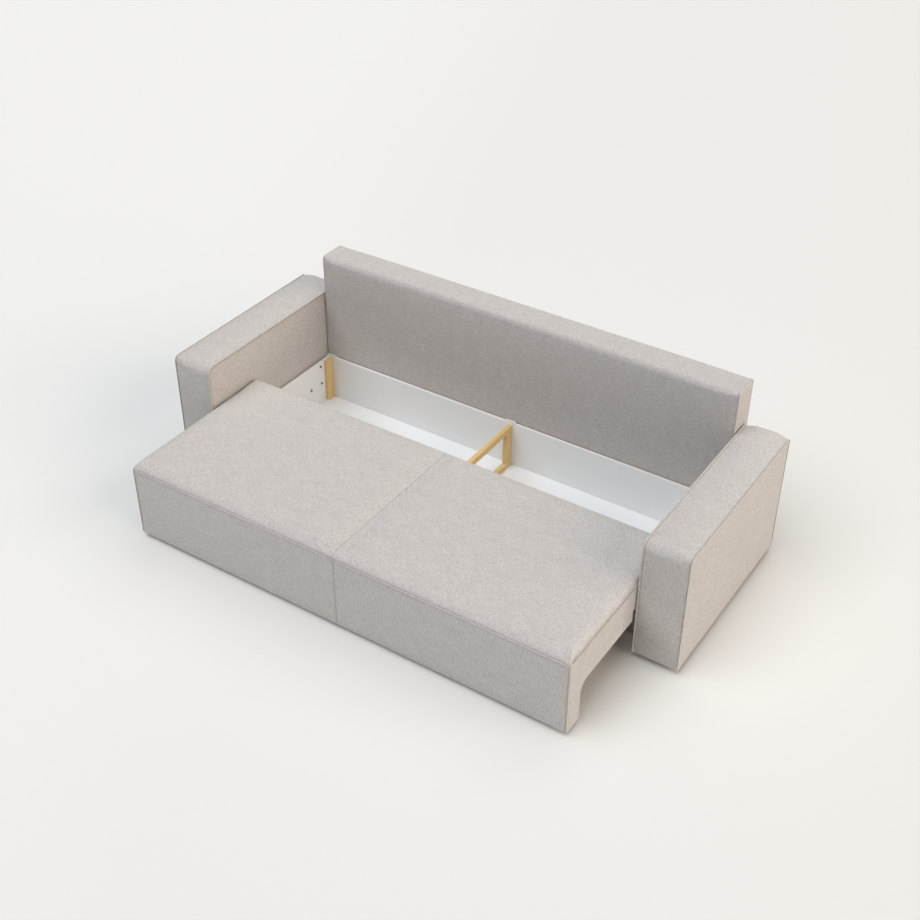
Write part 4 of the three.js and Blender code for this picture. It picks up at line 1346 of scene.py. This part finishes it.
def backrest_stations(low, high, tabs, step):
    """Where the backrest's rings stand: place, inset and pin, closer together beside the hinges."""
    edge = [(x * MM, inset * MM) for x, inset in BACKREST_EDGE]
    beside = [side + offset * MM for tab_low, tab_high in tabs for side, offset in (
        (tab_low[0], -9), (tab_low[0], -2.5), (tab_high[0], 2.5), (tab_high[0], 9))]
    middle = [x for x in np.arange(low[0] + 24 * MM, high[0] - 16 * MM, step)
              if min(abs(x - other) for other in beside) > 5 * MM]
    middle = sorted(middle + [x for x in beside if low[0] + 14 * MM < x < high[0] - 14 * MM])
    stations = [(low[0] + x, inset, SEAM_PIN) for x, inset in edge] + [(x, 0.0, 0.0) for x in middle]
    return stations + [(high[0] - x, inset, SEAM_PIN) for x, inset in reversed(edge)]


def backrest_skin(low, high, tabs, step):
    """The backrest's flat cover: a band of rings with a sewn panel at each end."""
    steps = (4, int((high[1] - low[1]) / step), int((high[2] - low[2]) / step))
    stations = backrest_stations(low, high, tabs, step)
    skin = Skin()
    rings, pins = [], []
    for x, inset, pin in stations:
        outline = silhouette(low, high, inset, backrest_radii(min(x - low[0], high[0] - x)), steps)
        outline = np.concatenate((outline, outline[:1]))
        rings.append(np.column_stack((np.full(len(outline), x), outline)))
        pins.append(np.full(len(outline), pin))
    skin.grid(np.array(rings), np.array(pins))
    for (x, inset, _), outward in ((stations[0], LEFT), (stations[-1], RIGHT)):
        cap = coons(silhouette(low, high, inset, backrest_radii(0), steps), steps)
        y, z = cap[..., 0], cap[..., 1]
        inside = np.minimum.reduce((y - low[1], high[1] - y, high[2] - z))
        puff = smooth_step(inside, inset, inset + 45 * MM) * 1.2 * MM
        skin.grid(np.stack((x + outward * puff, y, z), -1), PANEL_PIN)
    return skin.joined()


def backrest_form(step):
    """The backrest: full against the box's rim but for its hinges, and gathered at its end seams."""
    low, high = span_of("backrest_pad")
    tabs = [span_of(f"hinge_base_{place}") for place in HINGES]
    rear_foot = span_of("backrest_rest_strip")[0][1] + 14 * MM
    leaf_top = span_of("hinge_leaf_centre")[0][2] + 3.4 * MM
    points, quads, pins = backrest_skin(low, high, tabs, step)
    x, y, z = points.T.copy()
    clear = np.minimum.reduce([
        smooth_step(np.maximum(tab_low[0] - x, x - tab_high[0]), 2 * MM, 9 * MM)
        for tab_low, tab_high in tabs])
    recess = (1 - clear) * smooth_step(y, rear_foot + 4 * MM, rear_foot - 4 * MM)
    forward = smooth_step(y, low[1] + 34 * MM, low[1])
    backward = smooth_step(y, high[1] - 34 * MM, high[1])

    # Both faces belly out, the front one only above the box's rim
    belly = BELLY * swell(x, low[0], high[0], 8) * swell(z, low[2], high[2], 6)
    y += belly * (backward - forward * smooth_step(z, low[2] + 110 * MM, high[2] - 130 * MM))
    clear = np.maximum(clear, smooth_step(z, low[2] + 34 * MM, low[2] + 48 * MM))
    y -= forward * clear * FOOT_BELLY * smooth_step(z, low[2] + 170 * MM, low[2] + 50 * MM)

    # The top is full, and its rear edge leans back
    along = swell(x, low[0], high[0], 10)
    rear_top = smooth_step(y, high[1] - 30 * MM, high[1]) * smooth_step(z, high[2] - 120 * MM, high[2])
    y += REAR_LEAN * along * rear_top
    z += TOP_CROWN * along * smooth_step(z, high[2] - 22 * MM, high[2])

    # The foot leaves room for the hinges' leaves
    z = np.maximum(z, low[2] + (leaf_top - low[2]) * recess)
    for end in (low[0], high[0]):
        above = smooth_step(z, low[2] + 60 * MM, low[2] + 180 * MM)
        y += (backward - forward * above) * gathers(0.6 * MM, z, end, np.abs(x - end) - 30 * MM, 15 * MM)
    pins = np.maximum(pins, smooth_step(z, low[2] + 52 * MM, low[2] + 30 * MM))
    return np.column_stack((x, y, z)), quads, pins


class SOFA_OT_backrest(bpy.types.Operator):
    """Makes the cover of the backrest, and the cloth panels behind the base and before the box"""
    bl_idname = "sofa.backrest"
    bl_label = "Backrest"

    def execute(self, context):
        step = context.scene.sofa_cloth.mesh_step
        pad = pad_object("backrest_cover", backrest_form(step), BACKREST_SWELL)
        low, high = span_of("backrest_pad")
        _, y, z = points_of(pad.data).T
        behind = smooth_step(y, low[1] + 20 * MM, high[1] - 20 * MM)
        free = np.maximum(behind, smooth_step(z, low[2] + 130 * MM, high[2] - 60 * MM))
        settle([pad], free[:, None])
        finish_pad(pad, "backrest", ("backrest_pad",), turned=True)
        outline = silhouette(low, high, 1.0 * MM, backrest_radii(0), (8, 30, 40))
        outline = over_top(outline, low, high, 6 * MM)
        # Dark threads along the backrest's end seams, partly painted shade
        for (name, side), x in zip(SIDES, (low[0], high[0])):
            line = [(x - side * 7 * MM, y, z) for y, z in outline]
            lay_thread_and_shade(f"backrest_thread_{name}", line, "backrest", BACKREST_THREAD)
        self.cloth_panel("rear_panel", 1.6 * MM, step)
        self.cloth_panel("box_front_panel", 0, step)
        return {"FINISHED"}

    def cloth_panel(self, node, crown, step):
        """A thin board under cloth, a little full in its middle."""
        low, high = span_of(node)
        points, quads, facing = padded_box(
            low, high, (4 * MM, 3 * MM, 4 * MM), (4 * MM, 4 * MM, 4 * MM), step * 2)
        backward = np.clip(facing[:, 1], 0, 1) ** 2
        points[:, 1] += backward * crown * swell(points[:, 0], low[0], high[0], 12) * swell(
            points[:, 2], low[2], high[2], 4)
        made = mesh_object(node + "_cover", points, quads, (cloth_material(),))
        finish_piece(made, "base", (node,), weave=True)


# Boards and timber

# Boards and timbers by node, with the body that each rides on and, for a timber, its axis
LAMINATE_BOARDS = ("box_floor", "box_back_panel", "box_side_left", "box_side_right")
PLYWOOD_BOARDS = (("backrest_shelf", "base"), ("arm_cleat_left", "base"), ("arm_cleat_right", "base"),
                  ("seat_front_board", "seat"), ("seat_inner_board", "seat"), ("seat_deck", "seat"))
PINE_TIMBERS = (("rear_post_left", "base", 2), ("rear_post_right", "base", 2),
                ("centre_bottom_bar", "base", 1), ("centre_post", "base", 2),
                ("centre_top_bar", "base", 1), ("seat_rear_rail", "seat", 0),
                ("seat_mid_rail", "seat", 1), ("seat_caster_rail", "seat", 0))
BACKREST_TIMBERS = (("bottom_rail", 0), ("top_rail", 0), ("stile_left", 2), ("stile_right", 2))


class SOFA_OT_boards(bpy.types.Operator):
    """Makes the white boards of the box, and the raw boards of the seat, the shelf and the arms"""
    bl_idname = "sofa.boards"
    bl_label = "Boards"

    def execute(self, context):
        settings = context.scene.sofa_boards
        finishes = (material("white_laminate", paint_laminate, settings.laminate_color, 0.34),
                    material("edge_band", paint_laminate, settings.edge_color, 0.28))
        for node in LAMINATE_BOARDS:
            soft_piece(node, node + "_board", settings.board_round, finishes, "base", "white_laminate",
                       edge_slot=True)
        raw = plywood_material()
        for node, body in PLYWOOD_BOARDS:
            made = softened(node, node + "_sheet", settings.board_round, (raw,))
            if node == "backrest_shelf":
                self.cover_edge(made)
            finish_piece(made, body, (node,), weave=node == "backrest_shelf")
        for name, _ in SIDES:
            dress(f"arm_carcass_{name}", raw)
        return {"FINISHED"}

    @staticmethod
    def cover_edge(shelf):
        """Wraps the shelf's rear edge in the cloth of the panel below it."""
        shelf.data.materials.append(cloth_material())
        for face in shelf.data.polygons:
            face.material_index = int(face.normal.y > 0.5)


def pine_for(node, along):
    """Pine whose heart line lies beside the timber, so that its rings show as flat arcs."""
    settings = bpy.context.scene.sofa_boards
    low, high = span_of(node)
    middle = np.delete((low + high) / 2, along)
    heart = middle + np.array(PINE_HEART)
    return material("pine_" + node, paint_pine, settings, along, heart.tolist())


class SOFA_OT_timber(bpy.types.Operator):
    """Makes the pine posts, bars and rails"""
    bl_idname = "sofa.timber"
    bl_label = "Timber"

    def execute(self, context):
        settings = context.scene.sofa_boards
        for node, body, along in PINE_TIMBERS:
            soft_piece(node, node + "_timber", settings.timber_round, (pine_for(node, along),), body,
                       "pine", segments=3)
        for part, along in BACKREST_TIMBERS:
            dress(f"backrest_{part}", pine_for(f"backrest_{part}", along))
        return {"FINISHED"}


# Hardware

class SOFA_OT_hinges(bpy.types.Operator):
    """Makes the white hinge tabs, the moving leaves and the pins"""
    bl_idname = "sofa.hinges"
    bl_label = "Hinges"

    def execute(self, context):
        width = context.scene.sofa_hardware.metal_round
        for place in HINGES:
            soft_piece(f"hinge_base_{place}", f"hinge_tab_{place}", width, (painted_material(),),
                       "base", "white_steel")
            soft_piece(f"hinge_leaf_{place}", f"hinge_plate_{place}", width, (steel_material(),),
                       "backrest", "steel")
            dress(f"hinge_pin_{place}", steel_material())
        return {"FINISHED"}


# How far each bolt lies in from the rear end and down from the top of the box's side
BOLT_DEPTHS = ((73 * MM, 24 * MM), (72 * MM, 120 * MM), (153 * MM, 119 * MM))


class SOFA_OT_fasteners(bpy.types.Operator):
    """Makes the bolts that hold the arms to the box"""
    bl_idname = "sofa.fasteners"
    bl_label = "Bolts"

    def execute(self, context):
        settings = context.scene.sofa_hardware
        grey = material("grey_bolts", paint_metal, settings.bolt_color, 0.45, 0.6)
        places, facings = [], []
        for name, side in SIDES:
            low, high = span_of(f"box_side_{name}")
            x = high[0] if side == LEFT else low[0]
            for behind, below in BOLT_DEPTHS:
                places.append((x, high[1] - behind, high[2] - below))
                facings.append((-side, 0, 0))
        fasten("arm_bolts", places, facings, settings.bolt_radius, grey, "base")
        return {"FINISHED"}


MOULDINGS = (("skid_left", "base", 2 * MM), ("skid_right", "base", 2 * MM),
             ("seat_glide_left", "seat", 2 * MM), ("seat_glide_right", "seat", 2 * MM),
             ("backrest_rest_strip", "base", 0.7 * MM))
TYRE_ROUND, TREAD_POWER = 3.4 * MM, 0.8
WHEEL_STEPS = 40


class SOFA_OT_casters(bpy.types.Operator):
    """Makes the casters' forks and wheels, the feet, the skids, the glides and the rest strip"""
    bl_idname = "sofa.casters"
    bl_label = "Casters and feet"

    def execute(self, context):
        settings = context.scene.sofa_hardware
        for number in WHEELS:
            soft_piece(f"caster_fork_{number}", f"caster_bracket_{number}", settings.metal_round,
                       (steel_material(),), "seat", "steel")
            self.wheel(number, settings)
        for name, _ in SIDES:
            for end in ("front", "rear"):
                self.foot(f"arm_foot_{name}_{end}")
        for node, body, width in MOULDINGS:
            soft_piece(node, node + "_moulding", width, (plastic_material(),), body, "black_plastic",
                       segments=3)
        return {"FINISHED"}

    def wheel(self, number, settings):
        """A rounded tyre on a hub with a raised rim, turned about X."""
        node = f"caster_wheel_{number}"
        low, high = span_of(node)
        centre, half, radius = (low + high) / 2, (high[0] - low[0]) / 2, (high[2] - low[2]) / 2
        hub = [(4.4 * MM, -half), (7 * MM, -half), (7.6 * MM, -half + 1.6 * MM),
               (13.5 * MM, -half + 2 * MM), (14.2 * MM, -half + 0.6 * MM), (16 * MM, -half + 0.2 * MM),
               (radius - TYRE_ROUND, -half)]
        tread = [(radius - TYRE_ROUND + TYRE_ROUND * math.cos(angle) ** TREAD_POWER,
                  (half - 0.4 * MM) * math.sin(angle))
                 for angle in np.linspace(-math.pi / 2, math.pi / 2, 7)[1:-1]]
        rings = hub + tread + [(r, -h) for r, h in reversed(hub)]
        points = [(centre[0] + h, centre[1] + r * math.cos(angle), centre[2] + r * math.sin(angle))
                  for r, h in rings for angle in np.linspace(0, 2 * math.pi, WHEEL_STEPS, endpoint=False)]
        count = len(rings)
        tyre = material("caster_tyre", paint_plastic, settings.tyre_color, 0.55)
        made = mesh_object(f"caster_tyre_{number}", points, ring_faces(count, WHEEL_STEPS, closed=True),
                           (plastic_material(), tyre))
        rows = np.repeat(np.arange(count), WHEEL_STEPS)
        on_tyre = (rows >= len(hub) - 2) & (rows <= count - len(hub))
        made.data.polygons.foreach_set("material_index", on_tyre.astype(np.int32))
        made.data.set_sharp_from_angle(angle=math.radians(50))
        finish_piece(made, f"wheel_{number}", (node,))

    def foot(self, node):
        """A round plastic foot with a lip and a waist."""
        low, high = span_of(node)
        centre, radius, top = (low + high) / 2, (high[0] - low[0]) / 2, high[2]
        lip = [(radius - inset * MM, height * MM) for inset, height in (
            (3, 0), (1.2, 0.5), (0.2, 1.6), (0, 3.2), (0.5, 6), (3.6, 8.5), (4.4, 12))]
        collar = [(radius - inset * MM, top - below * MM) for inset, below in (
            (4.4, 4.2), (1, 3), (0.6, 0.4), (1, 0))]
        points, faces = lathe([(0, 0), *lip, *collar, (0, top)])
        made = mesh_object(node + "_moulding", points + np.array((centre[0], centre[1], 0)), faces,
                           (plastic_material(),))
        made.data.set_sharp_from_angle(angle=math.radians(50))
        finish_piece(made, "base", (node,))


class SOFA_OT_stitches(bpy.types.Operator):
    """Sews the seat's side seams, and lays dark threads, partly painted shade, along them, in its middle
    seam and under its welt
    """
    bl_idname = "sofa.stitches"
    bl_label = "Stitches"

    def execute(self, context):
        rear = span_of("seat_cushion_left")[1][1] - 24 * MM
        lines = []
        for _, side in SIDES:
            x, height = side * (SEAT_HALF + 0.5 * MM), SIDE_SEAM_HEIGHT - 5 * MM
            lines.append([(x, SEAT_FRONT + 16 * MM, height), (x, rear, height)])
            seam = [(side * (SEAT_HALF + 0.9 * MM), y, SIDE_SEAM_HEIGHT + 0.3 * MM)
                    for y in np.linspace(SEAT_FRONT + 14 * MM, rear, 80)]
            lay_thread_and_shade(f"seat_side_thread_{side + 1}", seam, "seat", SIDE_THREAD)
        sew("seat_side_stitches", lines, "seat")
        # Painted shade: a thin dark thread down the middle seam of the seat's front
        line = [(0, SEAT_FRONT + 1.5 * MM, z)
                for z in np.linspace(SEAT_BOTTOM + 4 * MM, WELT_HEIGHT - 3 * MM, 30)]
        lay_thread_and_shade("seat_middle_thread", line, "seat", MIDDLE_THREAD)
        # Painted shade: a dark thread under the welt darkens the line beneath it
        reach = SEAT_HALF - 14 * MM
        line = [(x, SEAT_FRONT, WELT_HEIGHT - 4 * MM) for x in np.linspace(-reach, reach, 120)]
        lay_thread_and_shade("seat_welt_thread", line, "seat")
        return {"FINISHED"}


OPERATORS = (SOFA_OT_stage, SOFA_OT_boards, SOFA_OT_timber, SOFA_OT_hinges, SOFA_OT_fasteners,
             SOFA_OT_casters, SOFA_OT_seat, SOFA_OT_arms, SOFA_OT_backrest, SOFA_OT_stitches)
SETTINGS = (("sofa_stage", StageSettings), ("sofa_cloth", ClothSettings), ("sofa_seams", SeamSettings),
            ("sofa_boards", BoardSettings), ("sofa_hardware", HardwareSettings))


class SOFA_PT_panel(bpy.types.Panel):
    """Steps that build the sofa, and the sizes and colours that they use"""
    bl_idname = "SOFA_PT_panel"
    bl_label = "Sleeper sofa"
    bl_space_type = "VIEW_3D"
    bl_region_type = "UI"
    bl_category = "Sofa"

    def draw(self, context):
        for step in OPERATORS:
            self.layout.operator(step.bl_idname)
        for name, group in SETTINGS:
            box = self.layout.box()
            box.label(text=group.__doc__)
            for key in group.__annotations__:
                box.prop(getattr(context.scene, name), key)


def register():
    for _, group in SETTINGS:
        bpy.utils.register_class(group)
    for name, group in SETTINGS:
        setattr(bpy.types.Scene, name, bpy.props.PointerProperty(type=group))
    for one in (*OPERATORS, SOFA_PT_panel):
        bpy.utils.register_class(one)


def unregister():
    for one in reversed((*OPERATORS, SOFA_PT_panel)):
        bpy.utils.unregister_class(one)
    for name, _ in SETTINGS:
        delattr(bpy.types.Scene, name)
    for _, group in reversed(SETTINGS):
        bpy.utils.unregister_class(group)


def main():
    register()
    bpy.ops.sofa.stage()
    bpy.ops.sofa.boards()
    bpy.ops.sofa.timber()
    bpy.ops.sofa.hinges()
    bpy.ops.sofa.fasteners()
    bpy.ops.sofa.casters()
    bpy.ops.sofa.seat()
    bpy.ops.sofa.arms()
    bpy.ops.sofa.backrest()
    bpy.ops.sofa.stitches()


if __name__ == "__main__":
    main()
